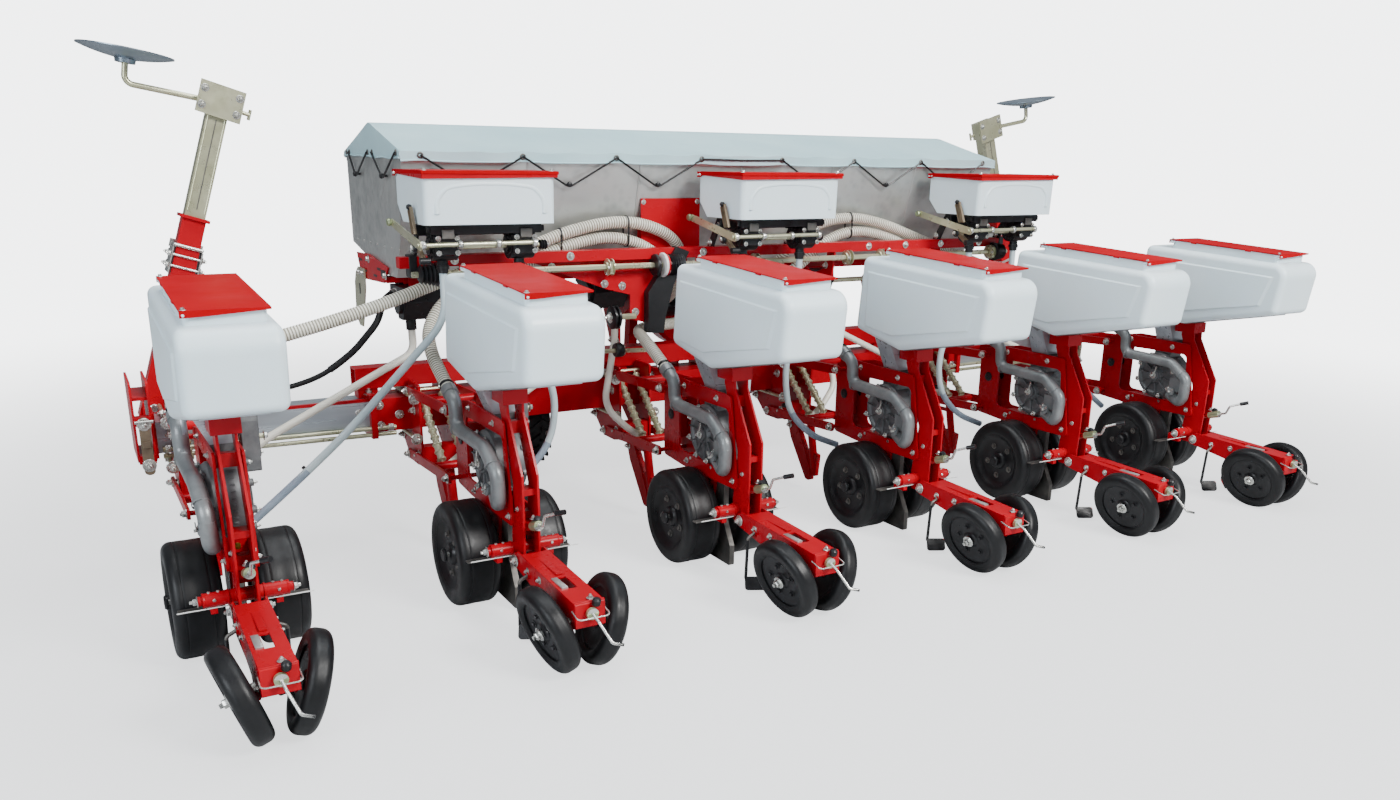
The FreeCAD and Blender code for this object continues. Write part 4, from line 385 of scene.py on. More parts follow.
def make_hoses():
    """Ribbed suction hoses from the fan's collector to the seed meters, and the markers' thin hoses."""
    lines = []
    for number in range(6):
        name = "suction_hose_%d" % (number + 1)
        route = [at(*(Vector(p) * MM)) for p in hose_route(number)]
        line = along_line(smooth_line("route_%d" % (number + 1), route), HOSE_PITCH / 4)
        hose = hose_piece(name + "_ribbed", line, rib, HOSE_SIDES, "hose_cream")
        # faces in each groove take a darker copy of the hose's cream: painted shade in the grooves
        hose.data.materials.append(MATS["hose_groove_shade"])
        for face in hose.data.polygons:
            rings = [v // HOSE_SIDES for v in face.vertices]
            if len(rings) == 4 and max(rings) % 4 < 2 and rings[0] % 4 != 1:
                face.material_index = 1
        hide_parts(name)
        tuple(line[0])
        round(length_of(line), 3)
        lines.append(line)
    for side, word in ((-1, "left"), (1, "right")):
        route = [at(side * x * MM, y * MM, z * MM) for x, y, z in LEAD_ROUTE]
        line = along_line(smooth_line("route_" + word, route), LEAD_PITCH)
        lead = hose_piece("hydraulic_hose_" + word, line, LEAD_RADIUS, 10, "tyre_rubber")
        sleeve = hose_piece("hydraulic_sleeve_" + word, line[len(line) // 7:len(line) // 2],
                            LEAD_RADIUS + SLEEVE_WALL, 12, "tyre_rubber")
        tuple(line[0])
        round(length_of(line), 3)
    return lines


# ---------------------------------------------------------------- shader nodes
def wire(tree, node, inputs):
    """Sets a node's inputs, each from a value or from the socket that feeds it."""
    for name, value in inputs.items():
        if isinstance(value, bpy.types.NodeSocket):
            tree.links.new(value, node.inputs[name])
        else:
            node.inputs[name].default_value = value
    return node


def add_node(tree, kind, inputs={}, **settings):
    node = tree.nodes.new("ShaderNode" + kind)
    for name, value in settings.items():
        setattr(node, name, value)
    return wire(tree, node, inputs)


def object_place(tree, stretch=None):
    out = add_node(tree, "TexCoord").outputs["Object"]
    if stretch:
        out = add_node(tree, "Mapping", {"Vector": out, "Scale": stretch}).outputs["Vector"]
    return out


def noise(tree, scale, detail=4.0, stretch=None):
    return add_node(tree, "TexNoise", {"Vector": object_place(tree, stretch), "Scale": scale,
                                       "Detail": detail, "Roughness": 0.6}).outputs["Fac"]


def ramp(tree, value, stops):
    """Colour along a value, from stops of (value, colour)."""
    node = add_node(tree, "ValToRGB", {"Fac": value})
    elements = node.color_ramp.elements
    for k in (0, -1):
        elements[k].position, elements[k].color = stops[k][0], (*stops[k][1], 1)
    for spot, colour in stops[1:-1]:
        elements.new(spot).color = (*colour, 1)
    return node.outputs["Color"]


# ---------------------------------------------------------------- floor and light
BACKDROP, GLOW = (0.97, 0.985, 1, 1), 5.0
FLOOR_HALF = 80
# name, place, size, power and tint of each lamp
LAMPS = (("key", (2.0, -6.0, 6.0), 2.6, 1080, (1, 0.99, 0.97)),
         ("fill", (-7.0, -3.0, 3.5), 4.0, 380, (0.88, 0.94, 1)),
         ("top", (-0.5, 1.2, 7.0), 5.0, 420, (0.95, 0.98, 1)))


def show_backdrop(tree, share, own, plain, output):
    """Mixes in the plain backdrop by a share."""
    mix = add_node(tree, "MixShader", {"Fac": share, 1: own, 2: plain})
    wire(tree, tree.nodes[output], {"Surface": mix.outputs["Shader"]})


def set_stage():
    """Pale floor that runs out into the pale background, and soft studio light."""
    corners = [(a * FLOOR_HALF, b * FLOOR_HALF, 0) for a, b in ((-1, -1), (1, -1), (1, 1), (-1, 1))]
    mesh = bpy.data.meshes.new("floor")
    mesh.from_pydata(corners, [], [(0, 1, 2, 3)])
    floor = bpy.data.objects.new("floor", mesh)
    scene.collection.objects.link(floor)
    mat = bpy.data.materials.new("floor")
    mat.use_nodes = True
    tree = mat.node_tree
    shader = wire(tree, tree.nodes["Principled BSDF"], {
        "Base Color": (0.50, 0.51, 0.52, 1), "Roughness": 0.9, "Specular IOR Level": 0.1})
    far = add_node(tree, "Emission", {"Color": BACKDROP, "Strength": GLOW})
    reach = add_node(tree, "VectorMath", {0: object_place(tree)}, operation="LENGTH")
    fade = add_node(tree, "MapRange", {"Value": reach.outputs["Value"], "From Min": 2.5, "From Max": 8.0,
                                       "To Min": 0.30}, interpolation_type="SMOOTHSTEP")
    seen = add_node(tree, "LightPath").outputs["Is Camera Ray"]
    only = add_node(tree, "Math", {0: fade.outputs["Result"], 1: seen}, operation="MULTIPLY")
    show_backdrop(tree, only.outputs["Value"], shader.outputs["BSDF"], far.outputs["Emission"],
                  "Material Output")
    mesh.materials.append(mat)

    world = bpy.data.worlds.new("studio")
    world.use_nodes = True
    tree = world.node_tree
    up = add_node(tree, "SeparateXYZ", {"Vector": add_node(tree, "TexCoord").outputs["Generated"]})
    tone = ramp(tree, up.outputs["Z"], [(0.0, (0.36, 0.38, 0.41)), (0.35, (0.62, 0.66, 0.72)),
                                        (0.9, (1.0, 1.02, 1.06))])
    sky = wire(tree, tree.nodes["Background"], {"Color": tone, "Strength": 0.42})
    plain = add_node(tree, "Background", {"Color": BACKDROP, "Strength": GLOW})
    show_backdrop(tree, add_node(tree, "LightPath").outputs["Is Camera Ray"], sky.outputs["Background"],
                  plain.outputs["Background"], "World Output")
    scene.world = world
    for name, spot, size, power, tint in LAMPS:
        data = bpy.data.lights.new(name, "AREA")
        data.energy, data.size, data.color = power, size, tint
        lamp = bpy.data.objects.new(name, data)
        lamp.location = at(*spot)
        lamp.rotation_euler = (at(0, 0.9, 0.7) - lamp.location).to_track_quat("-Z", "Y").to_euler()
        scene.collection.objects.link(lamp)


# ---------------------------------------------------------------- materials
def finish_of(name, dark, light, scale, rough, spread=0.06, metal=0.0, relief=(0.05, 200.0), stretch=None,
              soft_edge=0.0, subsurface=0.0, sheen=0.0, patches=0.0, gloss=0.5):
    """Finish whose colour wanders between two tones, with its own roughness, relief and worn-soft edges."""
    mat = bpy.data.materials.new(name)
    mat.use_nodes = True
    tree = mat.node_tree
    tone = noise(tree, scale, stretch=stretch)
    if patches:
        cells = add_node(tree, "TexVoronoi", {"Scale": patches, "Vector": object_place(tree)})
        tone = add_node(tree, "Math", {0: cells.outputs["Distance"], 1: 0.35, 2: tone},
                        operation="MULTIPLY_ADD").outputs["Value"]
    sheer = add_node(tree, "MapRange", {
        "Value": noise(tree, scale * 2.3, stretch=stretch), "From Min": 0.3, "From Max": 0.7,
        "To Min": max(rough - spread, 0.02), "To Max": rough + spread})
    bump = add_node(tree, "Bump", {"Strength": relief[0], "Distance": 0.002,
                                   "Height": noise(tree, relief[1], 3.0, stretch)})
    if soft_edge:
        edge = add_node(tree, "Bevel", {"Radius": soft_edge}, samples=4)
        wire(tree, bump, {"Normal": edge.outputs["Normal"]})
    shader = wire(tree, tree.nodes["Principled BSDF"], {
        "Base Color": ramp(tree, tone, [(0.32, dark), (0.68, light)]), "Metallic": metal,
        "Specular IOR Level": gloss, "Sheen Weight": sheen, "Roughness": sheer.outputs["Result"],
        "Normal": bump.outputs["Normal"]})
    if subsurface:
        wire(tree, shader, {"Subsurface Weight": subsurface, "Subsurface Radius": (0.02, 0.02, 0.025)})
    return mat


# finish: (the record's slot, dark tone, light tone, scale of the tones, roughness, the rest)
FINISHES = {
    "red_paint": ("red_paint", (0.37, 0.0004, 0.0075), (0.46, 0.0007, 0.0100), 2.5, 0.30,
                  dict(gloss=0.18, relief=(0.03, 260), soft_edge=0.0016)),
    # darker copy of the red paint for the lids, whose tops face the light: painted shade
    "lid_paint_shaded": ("red_paint", (0.34, 0.0003, 0.0055), (0.42, 0.0005, 0.0075), 2.5, 0.36,
                  dict(gloss=0.01, relief=(0.02, 200), soft_edge=0.0012)),
    "tyre_rubber": ("tyre_rubber", (0.0030, 0.0032, 0.0038), (0.0075, 0.0078, 0.009), 9, 0.42,
                    dict(spread=0.09, gloss=0.34, relief=(0.12, 320))),
    "milk_plastic": ("milk_plastic", (0.74, 0.89, 0.95), (0.82, 0.94, 0.99), 1.6, 0.34,
                     dict(relief=(0.05, 70), subsurface=0.15, soft_edge=0.005)),
    "cast_aluminium": ("cast_aluminium", (0.11, 0.115, 0.12), (0.20, 0.205, 0.21), 16, 0.46,
                       dict(metal=0.55, relief=(0.35, 480), soft_edge=0.003)),
    "cast_pale": ("cast_aluminium", (0.17, 0.185, 0.19), (0.27, 0.285, 0.29), 12, 0.36,
                  dict(metal=0.35, relief=(0.10, 300), soft_edge=0.002)),
    "zinc": ("zinc", (0.55, 0.55, 0.52), (0.74, 0.74, 0.70), 30, 0.28, dict(metal=0.9)),
    "zinc_yellow": ("zinc", (0.47, 0.47, 0.30), (0.62, 0.61, 0.44), 9, 0.30, dict(metal=0.65)),
    "zinc_green": ("zinc", (0.30, 0.36, 0.20), (0.46, 0.52, 0.32), 22, 0.34, dict(metal=0.7)),
    "stainless": ("stainless", (0.40, 0.42, 0.41), (0.58, 0.59, 0.57), 5, 0.40,
                  dict(spread=0.12, metal=0.75, relief=(0.06, 60), patches=26.0)),
    "tarp": ("tarp", (0.36, 0.57, 0.62), (0.45, 0.65, 0.69), 2.2, 0.50,
             dict(relief=(0.30, 700), sheen=0.08)),
    "black_steel": ("black_steel", (0.004, 0.004, 0.005), (0.011, 0.011, 0.013), 12, 0.36,
                    dict(spread=0.1, gloss=0.4, relief=(0.1, 160), soft_edge=0.0012)),
    "dull_steel": ("black_steel", (0.10, 0.095, 0.09), (0.18, 0.17, 0.155), 14, 0.45,
                   dict(spread=0.1, metal=0.7, relief=(0.15, 200), soft_edge=0.0015)),
    "disc_steel": ("disc_steel", (0.20, 0.26, 0.32), (0.30, 0.36, 0.42), 7, 0.32,
                   dict(spread=0.1, metal=0.8)),
    "slide_steel": ("zinc", (0.36, 0.40, 0.44), (0.52, 0.56, 0.60), 6, 0.34,
                    dict(spread=0.1, metal=0.65, stretch=(0.15, 3, 3))),
    "brown_steel": ("zinc", (0.16, 0.12, 0.08), (0.28, 0.22, 0.15), 14, 0.42,
                    dict(metal=0.6, soft_edge=0.0015)),
    "hose_cream": ("milk_plastic", (0.74, 0.72, 0.62), (0.86, 0.84, 0.75), 6, 0.38, dict(subsurface=0.1)),
    # darker copy of the hose's cream for its grooves: painted shade
    "hose_groove_shade": ("milk_plastic", (0.22, 0.20, 0.15), (0.32, 0.30, 0.24), 6, 0.5, {}),
    "tube_blue": ("milk_plastic", (0.22, 0.28, 0.36), (0.30, 0.37, 0.45), 8, 0.34, {}),
    "pipe_pale": ("milk_plastic", (0.46, 0.58, 0.62), (0.58, 0.68, 0.71), 8, 0.32, {}),
    "yellow_plastic": ("milk_plastic", (0.55, 0.50, 0.04), (0.68, 0.62, 0.08), 20, 0.4, {}),
    "white_plastic": ("milk_plastic", (0.70, 0.70, 0.68), (0.80, 0.80, 0.78), 12, 0.35, {}),
}
MATS = {}


def make_finishes(names):
    for name in names:
        _, *how, rest = FINISHES[name]
        MATS[name] = finish_of(name, *how, **rest)


set_camera()
make_finishes(("hose_cream", "hose_groove_shade", "tyre_rubber"))
HOSE_LINES = make_hoses()
set_stage()
make_finishes([name for name in FINISHES if name not in MATS])


# ---------------------------------------------------------------- finishes of the CAD parts
def paint(node, base, *rules):
    """Gives a CAD part its finish, and other finishes to the faces that a rule's test picks out.

    A test takes a face's middle: across from its row, forward, up, and across from the machine's middle."""
    data = frame["nodes"][node].data
    data.materials.clear()
    for finish in [base] + [finish for finish, _ in rules]:
        data.materials.append(MATS[finish])
    if not rules:
        return
    for face in data.polygons:
        x, y, z = face.center.x / MM, (face.center.y - SHIFT) / MM, face.center.z / MM
        across = min((x - row / MM for row in ROWS), key=abs)
        face.material_index = next((i + 1 for i, (_, test) in enumerate(rules) if test(across, y, z, x)), 0)


def near(a, b, c, d, reach):
    return hypot(a - c, b - d) < reach


def marker_local(y, z, x):
    """Place on a marker's arm: across, forward and along it from its pivot."""
    dx, dz = MARKER_X - abs(x), z - MARKER_Z
    c, s = cos(MARKER_LEAN), sin(MARKER_LEAN)
    return dx * c - dz * s, y - MARKER_Y, dx * s + dz * c


def on_spring(u, y, z, x):
    t = min(max((y - 1311.7) / (1590 - 1311.7), 0), 1)
    return 1316 < y < 1588 and abs(abs(u) - 44) < 21 and abs(z - (380 + t * 256)) < 30


def paint_parts():
    for part in frame["record"]["subparts"]:
        paint(part["node"], part["material_slot"])
    paint("row_frames", "red_paint",
          ("black_steel", lambda u, y, z, x: y < 336 and u > 23 and z > 438),
          ("zinc", lambda u, y, z, x: y < 417 and z > 350),
          ("zinc_green", lambda u, y, z, x: y < 476 and z > 350 and abs(u) < 22),
          ("zinc", lambda u, y, z, x: abs(u) > 122.3 and near(y, z, 555, 275, 18)),
          ("dull_steel", lambda u, y, z, x: abs(u) > 60 and z < 232 and 596 < y < 632))
    paint("press_arms", "red_paint",
          ("black_steel", lambda u, y, z, x: y < -60 and u > 44),
          ("zinc", lambda u, y, z, x: y < -6.4),
          ("zinc_green", lambda u, y, z, x: y < 6.5 and near(u, z, 0, 231, 21)),
          ("zinc", lambda u, y, z, x: abs(u) > 50.3 and near(y, z, 508, 244, 14)),
          ("black_steel", lambda u, y, z, x: y > 330 and z < 200
           and (abs(u) > 64 or (abs(u) > 30 and z < 90))),
          ("dull_steel", lambda u, y, z, x: 380 < y < 425 and abs(u) > 50.3),
          ("zinc", lambda u, y, z, x: abs(u) > 50.3 and y < 220))
    paint("row_links", "red_paint", ("zinc", lambda u, y, z, x: abs(u) > 98.3), ("zinc_yellow", on_spring))
    paint("seed_meters", "cast_aluminium",
          ("slide_steel", lambda u, y, z, x: z > 705 and u > -92 and not (u > 60 and y > 765)),
          ("cast_pale", lambda u, y, z, x: u < -72.4))
    paint("furrow_openers", "red_paint",
          ("dull_steel", lambda u, y, z, x: abs(u) < 11.6 and z < 340),
          ("zinc", lambda u, y, z, x: abs(u) > 48))
    paint("toolbar_ends", "red_paint",
          ("brown_steel", lambda u, y, z, x: abs(x) > 2400 and 1468 < y < 1484),
          ("zinc", lambda u, y, z, x: abs(x) > 2400 and y < 1469),
          ("zinc", lambda u, y, z, x: near(abs(x), z, MARKER_X, MARKER_Z, 15) and abs(y - MARKER_Y) > 54))
    paint("toolbar_extensions", "slide_steel")
    # the lids take the darker copy of the red paint: painted shade on their lit tops
    for lid in ["seed_lid_%d" % n for n in range(1, 7)] + ["granule_lid_%d" % n for n in range(1, 4)]:
        paint(lid, "lid_paint_shaded")
    paint("granule_meters", "black_steel",
          ("brown_steel", lambda u, y, z, x: any(-236 < x - c < -222 and y < 1100 and z < 1275
                                                 and not near(y, z, 1009, 1211, 13) for c in GRANULE_X)),
          ("zinc_yellow", lambda u, y, z, x: near(y, z, GRANULE_Y, GRANULE_Z, 10)))
    paint("drop_tubes", "pipe_pale", ("hose_cream", lambda u, y, z, x: y > 1300),
          ("tube_blue", lambda u, y, z, x: z < 484))
    paint("drive_shafts", "zinc_yellow", ("black_steel", lambda u, y, z, x: z > 1157 or z < 1131))
    paint("fertiliser_meters", "black_steel", ("zinc_yellow", lambda u, y, z, x: near(y, z, 1560, 1000, 13)))
    paint("vacuum_fan", "red_paint", ("black_steel", lambda u, y, z, x: y < 1812 and z > 820))
    for side in ("left", "right"):
        paint("marker_arm_" + side, "red_paint",
              ("zinc_yellow", lambda u, y, z, x: marker_local(y, z, x)[2] > 761),
              ("zinc", lambda u, y, z, x: 380 < marker_local(y, z, x)[2] < 700
               and max(abs(v) for v in marker_local(y, z, x)[:2]) > 42.6))


# ---------------------------------------------------------------- wheels
def tyre(radius, half, shoulder, rim, lines=(), dip=0.0):
    """Closed section of a smooth tyre, (radius, across), with fine moulding lines on its tread."""
    bends = [radians(180 - 90 * k / 7) for k in range(8)]
    side = [(rim, 6 - half), (rim + 6, 1.5 - half), (rim + 14, -half)]
    side += [(radius - shoulder + shoulder * sin(t), shoulder * cos(t) - half + shoulder)
             for t in bends]
    flat = half - shoulder
    tread = []
    for step in range(1, 12):
        h = -flat + 2 * flat * step / 12
        tread.append((radius - dip * 0.5 * (1 + cos(2 * pi * h / flat)), h))
    for line in lines:
        for h in (-line, line):
            tread += [(radius - 0.1, h - 1.6), (radius - 1.4, h - 0.5), (radius - 1.4, h + 0.5),
                      (radius - 0.1, h + 1.6)]
    tread.sort(key=lambda p: p[1])
    inner = [(rim - 3, half - 8), (rim - 3, 8 - half), side[0]]
    return side + tread + [(r, -h) for r, h in side[::-1]] + inner


def disc_rim(half, rim, step, inner, hub, bore):
    """Pressed disc rim, the same on both faces."""
    face = [(bore, 12 - half), (hub - 4, 12 - half), (hub, 15 - half), (hub + 5, step - half),
            (inner - 8, step - half), (inner, step - 4 - half), (inner + 12, 14 - half), (rim + 1, 5 - half)]
    return face + [(r, -h) for r, h in face[::-1]] + [face[0]]


def press_axis(side):
    """Way out of a press wheel's axle."""
    return Vector((side * cos(CAMBER) * cos(TOE), -cos(CAMBER) * sin(TOE),
                   -sin(CAMBER)))


def add_lugs(shape, centre, count=22, swing=0.17, width=0.052):
    """Slanted bars on both halves of a drive tyre, by turns; swing and width are angles."""
    for k in range(count):
        for half in (-1, 1):
            turn = 2 * pi * (k + (0.25 if half > 0 else -0.25)) / count
            lug = []
            for h, ahead in ((2, 0.0), (63, swing)):
                for rise, share in ((226, 1), (249.4, 0.76)):
                    for wide in (-width, width):
                        a = turn + ahead + wide * share
                        lug.append((centre[0] + half * h, centre[1] + rise * cos(a),
                                    centre[2] + rise * sin(a)))
            faces = [(0, 1, 3, 2), (4, 6, 7, 5), (0, 2, 6, 4), (1, 5, 7, 3), (2, 3, 7, 6), (0, 4, 5, 1)]
            shape.put(lug, faces if half > 0 else [f[::-1] for f in faces])


def make_wheels():
    for n, row in enumerate(ROWS, 1):
        body = "gauge_wheel_pair_%d" % n
        tyres, rims, nuts = (Shape(place(row)) for _ in range(3))
        for side in (-1, 1):
            axis = (side, 0, 0)

            def across(out):
                return (side * (GAUGE_X + out), GAUGE_Y, GAUGE_Z)
            tyres.lathe(tyre(190, 75, 28, 128, lines=(40,), dip=0.8), across(0), axis, 72)
            rims.lathe(disc_rim(75, 128, 26, 108, 38, 10.6), across(0), axis, 48)
            for spot in ring_of(across(75 - 26), axis, 74, 5, 0.3):
                nuts.bolt(spot, axis, 15)
            rims.lathe([(0, -3), (24, -3), (24, 4), (20, 9), (0, 10)], across(77 + 1), axis, 24)
        tread = piece("gauge_tyres_%d" % n, tyres, "tyre_rubber", body)
        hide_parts("gauge_wheels_%d" % n)
        piece("gauge_rims_%d" % n, rims, "black_steel", body)
        piece("gauge_rim_bolts_%d" % n, nuts, "dull_steel", body)
        for side, word in ((-1, "left"), (1, "right")):
            body = "press_wheel_%d_%s_body" % (n, word)
            centre, axis = Vector((side * PRESS_HUB[0], *PRESS_HUB[1:])), press_axis(side)
            shape = Shape(place(row))
            shape.lathe(tyre(150, 33, 24, 104), centre, axis, 64)
            tread = piece("press_tyre_%d_%s" % (n, word), shape, "tyre_rubber", body)
            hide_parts("press_wheel_%d_%s" % (n, word))
            shape = Shape(place(row))
            shape.lathe(disc_rim(33, 104, 19, 90, 28, 10.6), centre, axis, 44)
            shape.bolts(ring_of(centre + axis * 14, axis, 58, 5), axis, 13)
            piece("press_rim_%d_%s" % (n, word), shape, "black_steel", body)
    for side, word in ((-1, "left"), (1, "right")):
        body = "drive_wheel_%s_body" % word
        centre = (side * 600, 2500, 250)
        shape = Shape(place())
        shape.lathe(tyre(238, 62, 26, 150), centre, (side, 0, 0), 80)
        add_lugs(shape, centre)
        tread = piece("drive_tyre_" + word, shape, "tyre_rubber", body)
        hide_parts("drive_wheel_" + word)
        shape = Shape(place())
        shape.lathe(disc_rim(58, 152, 30, 128, 46, 15.6), centre, (side, 0, 0), 48)
        for face in (-1, 1):
            spot = (centre[0] + face * 28, *centre[1:])
            shape.bolts(ring_of(spot, (face, 0, 0), 84, 5), (face, 0, 0), 17)
        piece("drive_rim_" + word, shape, "red_paint", body)


# ---------------------------------------------------------------- row units
LID_SLOPE, LID_MIDDLE = 0.0518, -14      # a seed lid's rise towards the front, and its middle across


def dress_row(n, row):
    kit = Kit("row_%d" % n, matrix=place(row))
    zinc, black, red = kit["zinc"], kit["black_steel"], kit["red_paint"]
    for s in (-1, 1):
        out = (s, 0, 0)
        # window plates, risers and link pivots
        window = ((575, 383), (700, 684), (930, 380), (952, 688))
        zinc.bolts([(s * 46, y, z) for y, z in window], out, stud=4)
        black.knob([(22, 0), (22, 3), (17, 6), (8, 6), (6, 3)], (s * 46, 1063, 548), out)
        zinc.bolts([(s * 31, 634, 780), (s * 31, 530, 420)], out, 10)
        for y, z in ((1092, 391), (1067, 662), (1615, 365), (1590, 636)):
            zinc.hoop(collar(9.6, 19, 3), (s * 98.2, y, z), out, 18)
            zinc.bolt((s * 101, y, z), out, 22, washer=False, stud=5)
        # cross tube: rings of its sleeve, set screws and end bolt; scraper wire
        red.hoop([(22, 0), (25, 1), (25, 6), (22, 7)], (s * 48, 555, 275), out, 28)
        red.hoop([(15.4, 0), (22, 0), (22.8, 2), (22.8, 8), (15.4, 8)], (s * 116, 555, 275), out, 28)
        zinc.bolts([(s * x, 555, 297) for x in (78, 104)], UP, 9, washer=False, tall=4)
        zinc.bolts([(s * x, 562, 254) for x in (78, 104)], (0, -0.3, -1), 10, washer=False, tall=5, stud=4)
        zinc.bolt((s * 92, 533.4, 279), (0, -1, 0.1), 9, washer=False, tall=3)
        zinc.bolt((s * 136, 555, 275), out, 19, stud=9)
        kit["white_plastic"].tube([(s * 52, 548, 250), (s * 196, 548, 250)], 2.0, 8)
        zinc.bolt((s * 52, 508, 244), out, 22, tall=11, stud=7)
        # fixings of the seat sheet and the opener
        zinc.bolts([(s * 88, 790, 850), (s * 88, 668, 829), (s * 88, 300, 905)], out)
        zinc.bolts([(s * 38.4, 740, 396), (s * 38.4, 900, 396)], out)
        # hub nuts of the press wheels on their stubs, and the press arm's screws
        axis = press_axis(s)
        hub = Vector((s * PRESS_HUB[0], *PRESS_HUB[1:]))
        zinc.bolt(hub + axis * 30, axis, 24, tall=13, stud=10)
        zinc.bolts([(s * 50, 60, 190), (s * 50, 300, 244), (s * 50, 404, 240)], out, stud=4)
        red.hoop(collar(10, 15, 6), (s * 50, 404, 226), out, 18)
    # tie between the risers and the yellow cap under the meter's outlet
    red.block((-23, 552, 312), (23, 560, 372), 1.5)
    kit["yellow_plastic"].knob([(9, 0), (9, 12), (6, 16)], (-6, 585, 426), (0, -0.8, -0.5), 16)
    # press arm: blank plate beside its slot, seam and bail round its end, stop bolt
    kit["stainless"].block((-38, 142, 262), (-17, 234, 272.5), 0.6)
    red.block((-51.5, 20, 222), (51.5, 30, 266), 1.5)
    bail = [(-53, 34, 236), (-54, -10, 226), (-44, -16, 223), (44, -16, 223), (54, -10, 226), (53, 34, 236)]
    zinc.tube(eased(bail, 12), 2.4, 8)
    zinc.bolt((12, 40, 266), UP, stud=4)
    black.knob([(12, 0), (14, 4), (14, 18), (9, 24)], (16, 8, 254), (0.1, -0.2, 1), 20)
    # depth crank: collar and stop behind its green nut
    zinc.bolt((0, 466, 398), UP, stud=5)
    black.lathe([(0, 0), (13, 0), (15, 5), (12, 16), (0, 18)], (8, 452, 392), (0, -0.4, 1), 18)
    dress_meter(kit)
    dress_bracket(kit)
    kit.done()
    # seed lid: screws and the beads along its hinged edge
    lid = Kit("seed_lid_%d_fittings" % n, body="seed_lid_%d_body" % n, matrix=place(row))
    lo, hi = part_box("seed_lid_%d" % n)
    rear, front = (lo[1] - SHIFT) / MM, (hi[1] - SHIFT) / MM
    low, high = hi[2] / MM - (front - rear) * LID_SLOPE, hi[2] / MM

    def top(y):
        return low + (high - low) * (y - rear) / (front - rear) + 0.2
    for y in (rear + 12, front - 14):
        lid["zinc"].bolt((LID_MIDDLE - 98, y, top(y)), (0, -0.05, 1), 9)
    for y in (rear + 150, front - 150):
        lid["red_paint"].knob([(3.8, 0), (3.8, 26)], (LID_MIDDLE - 106, y, top(y) - 4.2), (0, 1, 0.05), 12)
    lid.done()


def dress_meter(kit):
    """Ribs, rim bolts, teeth, pipe clips and clamps of a row's seed meter."""
    cast, pale, zinc = kit["cast_aluminium"], kit["cast_pale"], kit["zinc"]
    y, z = METER_Y, METER_Z
    for k in range(10):
        turn = radians(36 * k + 9)
        ahead = Vector((0, cos(turn), sin(turn)))
        side = Vector((0, -sin(turn), cos(turn)))
        start, end = Vector((-60, y, z)) + ahead * 40, Vector((-66, y, z)) + ahead * 100
        cast.skin([[p + side * a + Vector((b, 0, 0)) for a, b in ((3, 0), (2, -7), (-2, -7), (-3, 0))]
                   for p in (start, end)])
    for spot in ring_of((-66, y, z), LEFT, 107, 8, 0.4):
        cast.knob([(11, 0), (10, 5)], spot, LEFT, 14)
        zinc.bolt(spot + Vector((-4, 0, 0)), LEFT, 12, stud=5)
    for spot in ring_of((67, y, z), RIGHT, 110, 8, 0.27):
        zinc.bolt(spot + Vector((1, 0, 0)), RIGHT, 12, stud=5)
    for turn in turns(34):
        cast.cube((8, y + 116 * cos(turn), z + 116 * sin(turn)), (7, 3, 3))
    cast.knob([(30, 0), (28, 8), (14, 12)], (-72, y, z), LEFT)
    zinc.bolt((-83, y, z), LEFT, 17, stud=6)
    zinc.tube(eased([(-90, y, z), (-94, y - 20, z + 28), (-94, y - 24, z + 52)], 10), 3.4, 8)
    # bands of the pipe, the hose's clip and the boot below
    mouth = Vector((-98, 1016, 752))
    pale.hoop(collar(25, 28.4, 9), (-98, 930, 622), (0, -1, -0.036))
    pale.hoop(collar(25, 27.6, 7), (-90, 600, 567), (0.05, -0.79, -0.61))
    kit["black_steel"].hoop(collar(25.4, 27.6, 9), mouth + MOUTH_WAY * 12, MOUTH_WAY)
    zinc.bolt(mouth + MOUTH_WAY * 16 + Vector((-27, 0, 0)), LEFT, 8, washer=False, tall=6)
    pale.tube(eased([(-83, 569, 520), (-79, 577, 446), (-72, 604, 420), (-58, 672, 446)], 42), 25.6, 20)
    pale.knob([(20, 0), (20, 10), (12, 14)], (-92, 640, 470), LEFT, 18)
    for s in (-1, 1):
        wing = [(4 * s, -3), (20 * s, 8), (24 * s, 20), (14 * s, 18), (4 * s, 5)][::s]
        zinc.plate(wing, (-110, 640, 470), (0, 1, 0), 3.5)
    zinc.rod((-100, 640, 470), (-116, 640, 470), 5, 10)
    # drive column: cover plate, screws and coupling on its shaft
    cast.block((110, 782, 640), (116, 850, 800), 2)
    zinc.bolts([(116, b, c) for c in (652, 788) for b in (794, 838)], RIGHT, 10)
    kit["zinc_yellow"].rod((60, 814, 700), (134, 814, 700), 8)
    zinc.bolt((132, 814, 700), RIGHT, 17)


def dress_bracket(kit):
    """Clamp bolts and rods of a row's bracket round the toolbar, and the screws below."""
    zinc = kit["zinc"]
    for s in (-1, 1):
        clamps = ((1520, 640), (1520, 380), (1744, 420), (1560, 560))
        zinc.bolts([(s * 80, y, z) for y, z in clamps], (s, 0, 0), 22, stud=8)
        for z in (455, 622):
            kit["zinc_yellow"].rod((s * 96, 1470, z), (s * 96, 1812, z), 8, edge=1)
            zinc.bolt((s * 96, 1486, z), BACK, 24, stud=12)
    for s in (-1, 1):
        zinc.bolts([(s * 14, 1530, 330), (s * 14, 1530, 300)], (s, 0, 0), 19, stud=6)


